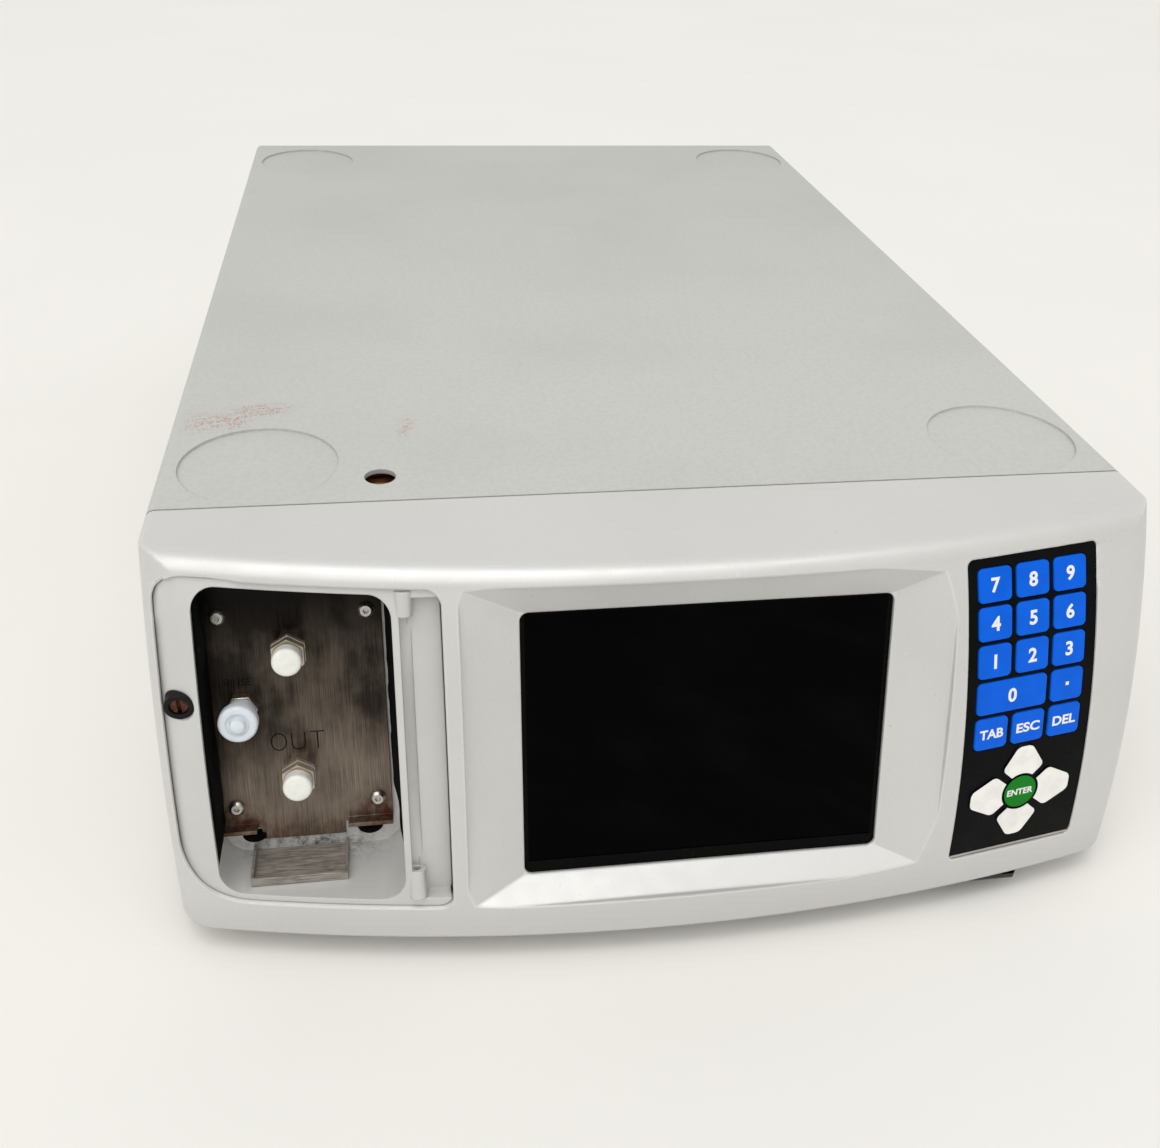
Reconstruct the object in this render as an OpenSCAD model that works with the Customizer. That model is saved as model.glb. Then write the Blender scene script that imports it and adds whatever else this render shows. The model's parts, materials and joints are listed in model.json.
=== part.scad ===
// Bench-top syringe pump: a flat painted cabinet with a bowed moulded front.
// The front carries a port bay, a display and a keypad, and the cabinet holds
// a screw-driven syringe. Units are millimetres, +Z is up and the front faces -Y.
// The origin is on the standing surface, under the middle of the whole depth.

/* [Cabinet] */
// Width over the painted cover
body_w = 292; // [284:1:360]
// Length of the painted cover, from the front seam to its back edge
body_len = 392; // [380:1:480]
// Height of the cabinet without its feet
body_h = 109; // [107:1:135]
// Sheet thickness of the cover, tray and panels
sheet = 1.5; // [1.2:0.1:2]
// Outside bend radius along the cover's top edges
bend_r = 3; // [2:0.5:6]
// Fit gap between nested sheet-metal pieces
sheet_gap = 0.3; // [0.1:0.05:0.5]
// Width of the thin seam between the cover and the bezel
seam_gap = 0.4; // [0.2:0.1:1]

/* [Feet and stacking] */
// Height of the rubber feet
foot_h = 10; // [9:1:20]
// Foot diameter
foot_d = 45; // [36:1:50]
// Clearance round a foot that stands in a stacking recess
stack_clear = 0.85; // [0.5:0.05:2]
// Depth of the stacking recesses in the cover
stack_deep = 0.8; // [0.4:0.1:1]
// Distance of the foot centres from the sides
foot_side = 29; // [26:1:40]
// Distance of the front foot centres behind the seam
foot_front = 25; // [24:1:60]
// Distance of the back foot centres from the back edge
foot_back = 32; // [26:1:60]

/* [Bezel] */
// Farthest reach of the bezel in front of the seam
bezel_deep = 68.7; // [66:0.1:74]
// Radius of the face seen from the side
face_side_r = 288; // [280:1:340]
// Height of the centre of that radius below the cabinet's top
face_drop = 125.3; // [120:0.1:128]
// Radius of the face seen from above
face_plan_r = 642; // [600:1:800]
// Radius of the bezel's upright corners
corner_r = 14; // [11:0.5:16]
// Radius of the rounding along the bezel's top front edge
brow_r = 7; // [5:0.5:8]
// Wall thickness of the bezel moulding
bezel_wall = 3; // [2.5:0.1:3.2]

/* [Display] */
// Width of the clear window
window_w = 106.4; // [96:0.1:112]
// Height of the clear window along the glass
window_h = 81; // [74:0.5:82]
// Middle of the window, to the right of the cabinet's middle
window_x = 7.6; // [0:0.1:12]
// Depth of the window's middle below the cabinet's top
window_drop = 54.6; // [53:0.1:56]
// Lean of the glass, in degrees from upright
window_lean = 15.5; // [12:0.5:18]
// How far the glass sits behind the face at its middle
window_sink = 14.1; // [12:0.1:16]
// Width of the sloping border at each side of the window
border_side = 16.4; // [12:0.1:17]
// Width of the sloping border above the window
border_top = 9.3; // [7:0.1:9.5]
// Width of the sloping border below the window
border_bottom = 6.5; // [5:0.1:7]

/* [Keypad] */
// Distance of the keypad's middle from the right side
keypad_side = 42; // [40:0.5:60]
// Depth of the keypad's middle below the cabinet's top
keypad_drop = 50.6; // [49:0.1:53]
// Width of the black overlay
keypad_w = 43.6; // [42:0.1:46]
// Length of the pocket that takes the black overlay, along the face
keypad_l = 96.6; // [95:0.2:97]
// Open strip left in the pocket below the overlay
keypad_strip = 0.9; // [0.2:0.1:1.2]
// Distance between neighbouring key columns
key_pitch_x = 12.55; // [12.2:0.05:13]
// Distance between neighbouring key rows
key_pitch_y = 11.4; // [10.8:0.1:11.5]
// Width of a square key
key_w = 11; // [9:0.1:11.4]
// Height of a square key
key_h = 10.1; // [9:0.1:10.2]
// Diameter of the round key
enter_d = 10; // [9:0.1:11]
// Travel of every key
key_travel = 0.4; // [0.2:0.1:0.5]
// Clearance round every key in the overlay
key_gap = 0.3; // [0.2:0.05:0.4]

/* [Port bay] */
// Width of the bay's moulded liner
bay_w = 75.5; // [75:0.5:78]
// Distance of the liner's outer edge from the left side
bay_side = 4; // [4:0.5:30]
// Lean of the steel port plate, in degrees from upright
plate_lean = 15; // [12:0.5:16]
// Width of the port plate
plate_w = 49; // [46:0.5:50]
// Length of the port plate
plate_l = 79.5; // [76:0.5:80]
// Thickness of the port plate
plate_t = 1.2; // [1:0.1:1.5]
// Distance between the inlet and the outlet port
port_pitch = 38.3; // [34:0.1:40]
// Bore of the port tubes
port_bore = 1.6; // [1:0.1:2]
// Outside diameter of the small port caps
cap_d = 8.2; // [7.5:0.1:9]
// Outside diameter of the rinse port's cap
rinse_cap_d = 10.9; // [10:0.1:12]

/* [Syringe drive] */
// Diameter of the plunger
plunger_d = 22; // [18:0.5:24]
// Stroke of the plunger
stroke = 70; // [50:1:72]
// Wall of the syringe barrel
barrel_wall = 6; // [4:0.5:7]
// Diameter of the lead screw
screw_d = 12; // [10:0.5:13]
// Diameter of the guide rods
rod_d = 10; // [8:0.5:12]
// Radial running clearance of shafts and rods in their bores
running = 0.05; // [0.02:0.01:0.1]
// Width and height of the stepper motor
motor_w = 56; // [42:1:57]
// Length of the stepper motor
motor_l = 76; // [50:1:80]

/* [Back panel] */
// Width and height of the cooling fan
fan_w = 60; // [50:1:60]
// Depth of the cooling fan
fan_t = 25; // [15:1:25]
// Width of the mains inlet's mouth
inlet_w = 24; // [23:0.5:26]
// Height of the mains inlet's mouth
inlet_h = 16.6; // [16:0.2:18]

/* [Hidden] */
$fn = 96;
big_fn = 1440;
tiny = 0.01;

// Levels and lengths of the cabinet
hw = body_w / 2;
bot_z = foot_h;
top_z = foot_h + body_h;
rear_out = 3;
seam_y = (bezel_deep - body_len - rear_out) / 2;
back_y = seam_y + body_len;
inner_hw = hw - sheet - sheet_gap;
inner_top_z = top_z - sheet - sheet_gap;
deck_z = bot_z + sheet;
flange_h = 14;

// The face: an arc in side view, swept round a plan arc
face_axis_z = top_z - face_drop;
face_low = max(bot_z - face_axis_z, 0);
face_axis_y = seam_y - bezel_deep + sqrt(pow(face_side_r, 2) - pow(face_low, 2));
plan_c = face_side_r - face_plan_r;
corner_c = plan_c + sqrt(pow(face_plan_r - corner_r, 2) - pow(hw - corner_r, 2));
corner_ang = atan2(hw - corner_r, corner_c - plan_c);
sweep_lo = -14;
sweep_hi = 36;
core_r = 190;

function face_r(x) = plan_c + sqrt(pow(face_plan_r, 2) - pow(x, 2));
function face_y(x, z) = face_axis_y - sqrt(pow(face_r(x), 2) - pow(z - face_axis_z, 2));

// The brow: where the face rolls into the flat top
brow_y = face_axis_y - sqrt(pow(face_side_r - brow_r, 2) - pow(face_drop - brow_r, 2));
brow_ang = asin((face_drop - brow_r) / (face_side_r - brow_r));
brow_plan_r = face_plan_r * cos(brow_ang) - brow_r;
brow_bite = 0.12;

// Display
glass_t = 2;
glass_lip = 3;
glass_gap = 0.15;
window_lip = 1.2;
window_round = 2.5;
lcd_t = 9;
funnel_wall = 2.5;
border_deep = 6;
win_z = top_z - window_drop;
win_y = face_y(window_x, win_z) + window_sink;

// Keypad
keypad_x = hw - keypad_side;
keypad_yaw = asin(keypad_x / face_plan_r);
keypad_z = top_z - keypad_drop;
keypad_r = face_r(keypad_x);
keypad_mid = asin((keypad_z - face_axis_z) / keypad_r);
keypad_ax = keypad_x - keypad_r * sin(keypad_yaw) * cos(keypad_mid);
keypad_ay = face_axis_y - keypad_r * (1 - cos(keypad_yaw)) * cos(keypad_mid);
overlay_sink = 0.9;
overlay_t = 1;
overlay_rim = 2.8;
overlay_r = 2;
overlay_top = keypad_r - overlay_sink;
overlay_back = overlay_top - overlay_t;
key_proud = 0.4;
key_t = 2;
key_top = overlay_top + key_proud;
key_r = 1.6;
mat_t = 1;
mat_gap = 0.3;
mat_top = key_top - key_t - key_travel - mat_gap;
row_7 = 40.2;
enter_lift = 0.5;
row_enter = row_7 - 6 * key_pitch_y + enter_lift;
pad_out = 11.6;

// Port bay, measured from the liner's outer edge and the cabinet's top
bay_x0 = -hw + bay_side;
bay_x1 = bay_x0 + bay_w;
bay_top = top_z - 5;
bay_low = top_z - 98;
bay_round = 18;
bay_sink = 1.2;
bay_clear = 0.15;
well_x0 = bay_x0 + 10.2;
well_w = 52.2;
well_x1 = well_x0 + well_w;
well_top = top_z - 7;
well_low = top_z - 96;
channel_x0 = well_x1 + 4;
channel_deep = 5;
plate_x = well_x0 + well_w / 2 - 1.5;
port_x = plate_x - 1.3;
plate_y = seam_y - 28;
plate_z = top_z - 57.5;
plate_s = 4.3;
port_in_s = 25.3;
port_out_s = port_in_s - port_pitch;
rinse_x = port_x - 14.4;
rinse_s = 7.9;
bay_back_t = 2;
plate_seat = plate_t + 0.1;
plate_screw_x = 20.3;
plate_screw_s = 29.7;
plate_screw_mid = 5.3;
plate_screw_head = 4.6;
plate_screw_shank = 2.5;
hinge_x = well_x1 + 3.3;
hinge_d = 4.8;
hinge_bore = 2;
hinge_low_z = top_z - 90;
hinge_high_z = top_z - 8;
hinge_low_y = face_y(hinge_x, hinge_low_z) + bay_sink + 1.4;
hinge_high_y = face_y(hinge_x, hinge_high_z) + bay_sink + 1.4;
hinge_lean = atan((hinge_high_y - hinge_low_y) / (hinge_high_z - hinge_low_z));
catch_x = bay_x0 + 4.9;
catch_z = top_z - 38.2;
catch_d = 8;
catch_y = face_y(catch_x, catch_z) + 0.6;

// Syringe drive
drive_x = port_x + 4;
drive_z = plate_z + 2;
bearing_r = screw_d / 2 + 3.5;
screw_x = drive_x + plunger_d / 2 + barrel_wall + bearing_r + 3.5;
rod_x = drive_x - 23;
rod_dz = 19;
bore_d = plunger_d + 2 * running;
barrel_d = bore_d + 2 * barrel_wall;
head_y = seam_y + 3;
head_l = 22;
barrel_y = head_y + head_l + 0.1;
barrel_l = stroke + 20;
plate_a_y = barrel_y + 10;
plate_a_t = 8;
car_t = 22;
car_y = barrel_y + barrel_l + 14;
plate_b_y = car_y + car_t + stroke + 8;
plate_b_t = 8;
pulley_t = 10;
pulley_r = 17;
belt_t = 1.7;
belt_gap = 0.3;
pulley_y = plate_b_y + plate_b_t + 4;
motor_x = screw_x + 56;
shaft_d = 6.35;

// Back panel
rear_y = back_y - sheet - 0.2;
inlet_x = hw - 40;
inlet_z = bot_z + 34;
fan_x = -hw + 56;
fan_z = bot_z + 52;

// ---------- helpers ----------

// A rounded rectangle about its middle
module rrect(w, h, r) {
  square([w - 2 * r, h], center = true);
  square([w, h - 2 * r], center = true);
  for (sx = [-1, 1], sz = [-1, 1])
    translate([sx * (w / 2 - r), sz * (h / 2 - r)]) circle(r);
}

// The waste outside a corner radius, at a corner that opens towards +X +Y
module corner_waste(r) {
  difference() {
    translate([-1, -1]) square(r + 1);
    translate([r, r]) circle(r);
  }
}

// A rectangle from two corners with four radii: low left, low right, top left, top right
module rounded_panel(x0, x1, z0, z1, r_ll, r_lr, r_tl, r_tr) {
  difference() {
    translate([x0, z0]) square([x1 - x0, z1 - z0]);
    if (r_ll > 0) translate([x0, z0]) corner_waste(r_ll);
    if (r_lr > 0) translate([x1, z0]) rotate(90) corner_waste(r_lr);
    if (r_tl > 0) translate([x0, z1]) rotate(-90) corner_waste(r_tl);
    if (r_tr > 0) translate([x1, z1]) rotate(180) corner_waste(r_tr);
  }
}

// An outline drawn in X and Z, extruded backwards from y0 over length l
module slab_y(y0, l) {
  translate([0, y0 + l, 0]) rotate([90, 0, 0]) linear_extrude(l) children();
}

// A round bar along Y
module bar_y(x, y0, z, d, l) {
  translate([x, y0, z]) rotate([-90, 0, 0]) cylinder(h = l, d = d);
}

// A block from its lowest corner
module block(x, y, z, w, l, h) {
  translate([x, y, z]) cube([w, l, h]);
}

// A frame that leans back: local Z runs up the slope and local Y into the cabinet
module leaned(x, y, z, lean) {
  translate([x, y, z]) rotate([-lean, 0, 0]) children();
}

// Plan outline of the face; X is the distance from the side-view centre
module front_plan(inset) {
  intersection() {
    translate([plan_c, 0]) circle(face_plan_r - inset, $fn = big_fn);
    translate([plan_c, 0]) polygon([
      [0, 0],
      [2 * face_plan_r, 2 * face_plan_r * tan(corner_ang)],
      [2 * face_plan_r, -2 * face_plan_r * tan(corner_ang)]
    ]);
    translate([core_r, -hw]) square([face_side_r, 2 * hw]);
  }
  for (side = [-1, 1])
    translate([corner_c, side * (hw - corner_r)]) circle(corner_r - inset);
  translate([core_r, -hw + inset]) square([corner_c - core_r, 2 * (hw - inset)]);
}

// The swept face, as a body that reaches back past the seam
module swept_face(inset) {
  translate([0, face_axis_y, face_axis_z]) rotate([90, 0, 90]) rotate([0, 0, 180 - sweep_hi])
    rotate_extrude(angle = sweep_hi - sweep_lo, $fn = big_fn) front_plan(inset);
}

// The cutter that rolls the face into the flat top
module brow(inset) {
  low = -1.5 * body_h;
  edge_x = brow_plan_r + (brow_r - inset) * cos(brow_ang);
  edge_z = -brow_r + (brow_r - inset) * sin(brow_ang);
  translate([0, brow_y + brow_plan_r + brow_bite, top_z]) rotate([0, 0, 180])
    rotate_extrude(angle = 180, $fn = big_fn) {
      translate([0, low]) square([brow_plan_r, -low - inset]);
      translate([brow_plan_r, -brow_r]) circle(brow_r - inset);
      polygon([[0, low], [0, edge_z], [edge_x, edge_z], [edge_x + (edge_z - low) * tan(brow_ang), low]]);
    }
}

// Cross-section of the cabinet, with rounded top edges
module cabinet_outline(inset) {
  r = max(bend_r - inset, 0.4);
  rounded_panel(-hw + inset, hw - inset, bot_z + inset, top_z - inset, 0, 0, r, r);
}

// Solid front body, from the face to the seam, smaller all round by inset
module front_body(inset, extra) {
  intersection() {
    swept_face(inset);
    brow(inset);
    slab_y(seam_y - bezel_deep - 5, bezel_deep + 5 + extra) cabinet_outline(inset);
  }
}

// The frame of the clear window: origin at its middle, on the glass side
module window_frame() {
  leaned(window_x, win_y, win_z, window_lean) children();
}

// The sloping border round the window; grow makes it thicker all round.
// It ends at the depth called back, where the window's lip starts
module window_funnel(grow, back) {
  x0 = window_w / 2 + grow;
  x1 = x0 + border_side;
  z0 = window_h / 2 + grow;
  reach = 30;
  window_frame() translate([0, back, 0]) intersection() {
    translate([0, 0, -window_h]) linear_extrude(2 * window_h)
      polygon([[-x0, 0], [-x1, -border_deep], [-x1, -reach], [x1, -reach], [x1, -border_deep], [x0, 0]]);
    translate([-window_w, 0, 0]) rotate([90, 0, 90]) linear_extrude(2 * window_w) polygon([
      [0, -z0], [-border_deep, -z0 - border_bottom], [-reach, -z0 - border_bottom],
      [-reach, z0 + border_top], [-border_deep, z0 + border_top], [0, z0]
    ]);
  }
}

// The keypad's own frame, on the centre line of its curve
module keypad_frame() {
  translate([keypad_ax, keypad_ay, face_axis_z]) rotate([0, 0, keypad_yaw]) children();
}

// Where the surface is t across and a up from the keypad's middle; local Z points outwards
module on_keypad(t, a) {
  keypad_frame() rotate([90 - keypad_mid - a / keypad_r * 180 / PI, 0, 0])
    translate([t, 0, 0]) children();
}

// A curved sheet between two radii of the keypad's curve
module curved_sheet(r0, r1, half_w, half_l) {
  turn = half_l / keypad_r * 180 / PI;
  keypad_frame() rotate([90, 0, 90]) rotate([0, 0, 180 - keypad_mid - turn])
    rotate_extrude(angle = 2 * turn, $fn = big_fn)
      translate([r0, -half_w]) square([r1 - r0, 2 * half_w]);
}

// A curved sheet with a rounded outline
module trimmed_sheet(r0, r1, w, l, up, r) {
  intersection() {
    curved_sheet(r0, r1, w, l / 2 + up + 3);
    on_keypad(0, 0) translate([0, up, r0 - 8]) linear_extrude(r1 - r0 + 16) rrect(w, l, r);
  }
}

function row_a(row) = row_7 - row * key_pitch_y;

// Outlines of the keys, grown all round by g
module square_key_outline(g) {
  rrect(key_w + 2 * g, key_h + 2 * g, key_r + g);
}

module wide_key_outline(g) {
  rrect(key_w + key_pitch_x + 2 * g, key_h + 2 * g, key_r + g);
}

// An arrow pad points away from the round key, along +Y
module pad_outline(g) {
  difference() {
    offset(r = 1 + g, $fn = 32)
      polygon([[-1.2, 3.6], [1.2, 3.6], [4.4, -1.1], [2.7, -3.2], [-2.7, -3.2], [-4.4, -1.1]]);
    translate([0, -pad_out]) circle(enter_d / 2 + 2.4 - g);
  }
}

// Every outline in its place, for the overlay's openings
module key_openings(g) {
  z0 = overlay_back - 2;
  h = overlay_t + 4;
  for (row = [0:2], col = [-1:1])
    on_keypad(col * key_pitch_x, row_a(row)) translate([0, 0, z0]) linear_extrude(h) square_key_outline(g);
  for (col = [-1:1])
    on_keypad(col * key_pitch_x, row_a(4)) translate([0, 0, z0]) linear_extrude(h) square_key_outline(g);
  on_keypad(key_pitch_x, row_a(3)) translate([0, 0, z0]) linear_extrude(h) square_key_outline(g);
  on_keypad(-key_pitch_x / 2, row_a(3)) translate([0, 0, z0]) linear_extrude(h) wide_key_outline(g);
  on_keypad(0, row_enter) translate([0, 0, z0]) cylinder(h = h, r = enter_d / 2 + g);
  for (turn = [0:90:270])
    on_keypad(0, row_enter) rotate([0, 0, turn]) translate([0, pad_out, z0]) linear_extrude(h) pad_outline(g);
}

// The port plate's frame: origin between the ports, local Y = 0 on the plate's front
module plate_frame() {
  leaned(0, plate_y, plate_z, plate_lean) children();
}

// A round bar square to the port plate, from depth d0 to d1
module plate_bar(x, s, d, d0, d1) {
  plate_frame() translate([x, d0, s]) rotate([-90, 0, 0]) cylinder(h = d1 - d0, d = d);
}

// The four places round a middle
module four(dx, dz) {
  for (sx = [-1, 1], sz = [-1, 1]) translate([sx * dx, 0, sz * dz]) children();
}

// ---------- cabinet ----------

foot_xs = [-hw + foot_side, hw - foot_side];
foot_ys = [seam_y + foot_front, back_y - foot_back];
case_screw_ys = [seam_y + 40, (seam_y + back_y) / 2, back_y - 40];
case_screw_z = bot_z + 8;
case_screw_d = 3;
case_head_d = 5.6;
foot_screw_d = 4;
foot_head_d = 8;
foot_head_h = 2.4;
foot_bore_deep = 5;
access_x = -hw + 64.6;
access_y = seam_y + 14.5;
access_d = 9.2;
boss_x = hw - bezel_wall - 4;
boss_zs = [bot_z + 12, top_z - 19];
boss_d = 8.4;
boss_l = 12;
bezel_screw_d = 3;

module cover() {
  color([0.74, 0.74, 0.72]) difference() {
    slab_y(seam_y + seam_gap, body_len - seam_gap) difference() {
      cabinet_outline(0);
      rounded_panel(-hw + sheet, hw - sheet, bot_z - 5, top_z - sheet, 0, 0, bend_r - sheet, bend_r - sheet);
    }
    for (x = foot_xs, y = foot_ys)
      translate([x, y, top_z - stack_deep]) cylinder(h = 2, d = foot_d + 2 * stack_clear);
    translate([access_x, access_y, top_z - 3]) cylinder(h = 6, d = access_d);
    for (side = [-1, 1], y = case_screw_ys)
      translate([side * hw, y, case_screw_z]) rotate([0, -side * 90, 0]) case_screw_shape(0.1);
  }
}

// A flat-head screw that points along +Z, its head's face at the origin
module case_screw_shape(g) {
  head = (case_head_d - case_screw_d) / 2;
  translate([0, 0, g > 0 ? -tiny : 0.05])
    cylinder(h = head, d1 = case_head_d + 2 * g, d2 = case_screw_d + 2 * g);
  translate([0, 0, 0.5]) cylinder(h = 6, d = case_screw_d + 2 * g);
}

module base_tray() {
  color([0.6, 0.6, 0.6]) difference() {
    union() {
      block(-inner_hw, seam_y + 0.3, bot_z, 2 * inner_hw, body_len - 0.6, sheet);
      for (x = [-inner_hw, inner_hw - sheet])
        block(x, seam_y + 3, bot_z, sheet, rear_y - seam_y - 4, flange_h);
    }
    for (x = foot_xs, y = foot_ys)
      translate([x, y, bot_z - 1]) cylinder(h = sheet + 2, d = foot_screw_d + 0.2);
    for (side = [-1, 1], y = case_screw_ys)
      translate([side * hw, y, case_screw_z]) rotate([0, -side * 90, 0]) cylinder(h = 9, d = case_screw_d + 0.2);
    for (i = [0:9])
      translate([hw / 2, seam_y + 220 + i * 12, bot_z - 1]) slot_along_x(40, 3.5, sheet + 2);
  }
}

// A slot with round ends, cut upwards
module slot_along_x(l, w, h) {
  linear_extrude(h) {
    square([l - w, w], center = true);
    for (sx = [-1, 1]) translate([sx * (l - w) / 2, 0]) circle(d = w);
  }
}

// Outline of the upright panels that stand on the tray inside the cover
module panel_outline() {
  rounded_panel(-inner_hw, inner_hw, deck_z + 0.1, inner_top_z, 0, 0, bend_r, bend_r);
}

module front_plate() {
  shelf_z = top_z - 12;
  color([0.55, 0.5, 0.42]) difference() {
    union() {
      slab_y(seam_y + 0.3, sheet) panel_outline();
      block(access_x - 26, seam_y + 0.3, shelf_z, 52, 28, sheet);
    }
    block(well_x0 - 4, seam_y - 1, bay_low + 4, well_w + 12, 5, plate_l + 4);
    block(window_x - 45, seam_y - 1, bot_z + 18, 90, 5, 74);
    block(keypad_x - 12, seam_y - 1, bot_z + 18, 24, 5, 60);
    translate([access_x + 1.5, access_y + 2, shelf_z - 1]) cylinder(h = 4, d = access_d + 2);
    for (sx = [-1, 1], z = boss_zs)
      bar_y(sx * boss_x, seam_y - 1, z, bezel_screw_d + 0.2, 5);
  }
}

module rear_panel() {
  color([0.7, 0.7, 0.69]) difference() {
    slab_y(rear_y, sheet) panel_outline();
    slab_y(rear_y - 1, sheet + 2) translate([fan_x, fan_z]) intersection() {
      circle(d = fan_w - 6);
      for (i = [-4:4]) translate([i * 6, 0]) square([3.6, fan_w], center = true);
    }
    translate([fan_x, 0, fan_z]) four(fan_screw, fan_screw) bar_y(0, rear_y - 1, 0, fan_screw_d + 0.2, sheet + 2);
    block(inlet_x - inlet_body_w / 2 - 0.1, rear_y - 1, inlet_z - inlet_body_h / 2 - 0.1,
      inlet_body_w + 0.2, sheet + 2, inlet_body_h + 0.2);
    for (p = signal_places)
      block(p[0] - p[1] / 2 - 0.1, rear_y - 1, p[2] - signal_h / 2 - 0.1, p[1] + 0.2, sheet + 2, signal_h + 0.2);
  }
}

module feet() {
  color([0.12, 0.12, 0.12]) for (x = foot_xs, y = foot_ys)
    translate([x, y, 0]) difference() {
      union() {
        translate([0, 0, 1.5]) cylinder(h = foot_h - 1.5, d = foot_d);
        cylinder(h = 1.5, d1 = foot_d - 3, d2 = foot_d);
      }
      translate([0, 0, -1]) cylinder(h = foot_bore_deep + 1, d = foot_head_d + 4);
      cylinder(h = foot_h + 1, d = foot_screw_d + 0.2);
    }
}

module housing_screws() {
  color([0.5, 0.5, 0.5]) {
    for (side = [-1, 1], y = case_screw_ys)
      translate([side * hw, y, case_screw_z]) rotate([0, -side * 90, 0]) case_screw_shape(0);
    for (x = foot_xs, y = foot_ys) translate([x, y, foot_bore_deep]) {
      translate([0, 0, -foot_head_h]) cylinder(h = foot_head_h, d = foot_head_d);
      translate([0, 0, -tiny]) cylinder(h = foot_h - foot_bore_deep + sheet + 2, d = foot_screw_d);
    }
    for (sx = [-1, 1], z = boss_zs) {
      bar_y(sx * boss_x, seam_y - 8, z, bezel_screw_d, 10);
      bar_y(sx * boss_x, seam_y + 0.3 + sheet, z, 5.5, 2);
    }
    translate([fan_x, 0, fan_z]) four(fan_screw, fan_screw) {
      bar_y(0, fan_y + fan_t - 9, 0, fan_screw_d, 9 + sheet + 0.2);
      bar_y(0, back_y, 0, 2 * fan_screw_d, 1.6);
    }
  }
}

// ---------- bezel and display ----------

rocker_x = hw - 48;
rocker_y = face_y(rocker_x, bot_z) + 9.6;
rocker_body_w = 17;
rocker_body_l = 9.6;

module bezel() {
  color([0.82, 0.81, 0.79]) difference() {
    union() {
      difference() {
        front_body(0, 0);
        front_body(bezel_wall, 1);
      }
      intersection() {
        front_body(bezel_wall - 1, 0);
        window_funnel(funnel_wall, 0);
      }
      for (sx = [-1, 1], z = boss_zs)
        bar_y(sx * boss_x, seam_y - boss_l, z, boss_d, boss_l);
    }
    window_funnel(0, -window_lip);
    window_frame() slab_y(-window_lip - 1, window_lip + 2) rrect(window_w, window_h, window_round);
    slab_y(seam_y - 2 * bezel_deep, 2 * bezel_deep - boss_l - 1)
      rounded_panel(bay_x0, bay_x1, bay_low, bay_top, bay_round, 4, 8, 4);
    trimmed_sheet(overlay_back, keypad_r + 6, keypad_w + 0.2, keypad_l, 0, overlay_r + 0.1);
    on_keypad(0, 0) translate([0, 0, keypad_r - 16]) linear_extrude(20)
      rrect(keypad_w - 2 * overlay_rim, keypad_l - 2 * overlay_rim, 1);
    block(rocker_x - rocker_body_w / 2 - 0.1, rocker_y - rocker_body_l / 2 - 0.1, bot_z - 1,
      rocker_body_w + 0.2, rocker_body_l + 0.2, bezel_wall + 2);
    for (sx = [-1, 1], z = boss_zs)
      bar_y(sx * boss_x, seam_y - 10, z, bezel_screw_d + 0.1, 11);
  }
}

module display_glass() {
  w = window_w + 2 * glass_lip;
  h = window_h + 2 * glass_lip;
  color([0.02, 0.02, 0.02]) window_frame() slab_y(glass_gap, glass_t) rrect(w, h, 1);
}

module lcd_module() {
  w = window_w + 2 * glass_lip + 4;
  h = window_h + 2 * glass_lip;
  color([0.35, 0.36, 0.35]) window_frame() {
    slab_y(glass_gap + glass_t + 0.1, lcd_t) square([w, h], center = true);
    slab_y(glass_gap + glass_t + 0.1 + lcd_t, 2) square([w - 20, h - 20], center = true);
  }
}

// ---------- keypad ----------

module keypad_overlay() {
  color([0.03, 0.03, 0.03]) difference() {
    trimmed_sheet(overlay_back + 0.1, overlay_top, keypad_w, keypad_l - keypad_strip - 0.1, keypad_strip / 2, overlay_r);
    key_openings(key_gap);
  }
}

module key_mat() {
  color([0.25, 0.25, 0.27])
    trimmed_sheet(mat_top - mat_t, mat_top, keypad_w - 2 * overlay_rim - 0.6, keypad_l - 2 * overlay_rim - 0.6, 0, 1);
}

// A key at t across and a up from the keypad's middle
module key_body(t, a, turn) {
  on_keypad(t, a) rotate([0, 0, turn]) translate([0, 0, key_top - key_t]) linear_extrude(key_t) children();
}

module grid_key(col, row) {
  color([0, 0.36, 0.9]) key_body(col * key_pitch_x, row_a(row), 0) square_key_outline(0);
}

module zero_key() {
  color([0, 0.36, 0.9]) key_body(-key_pitch_x / 2, row_a(3), 0) wide_key_outline(0);
}

module enter_key() {
  color([0.05, 0.5, 0.1]) on_keypad(0, row_enter)
    translate([0, 0, key_top - key_t]) cylinder(h = key_t, d = enter_d);
}

module arrow_key(turn) {
  color([0.92, 0.91, 0.88]) on_keypad(0, row_enter) rotate([0, 0, turn])
    translate([0, pad_out, key_top - key_t]) linear_extrude(key_t) pad_outline(0);
}

// ---------- port bay ----------

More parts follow.
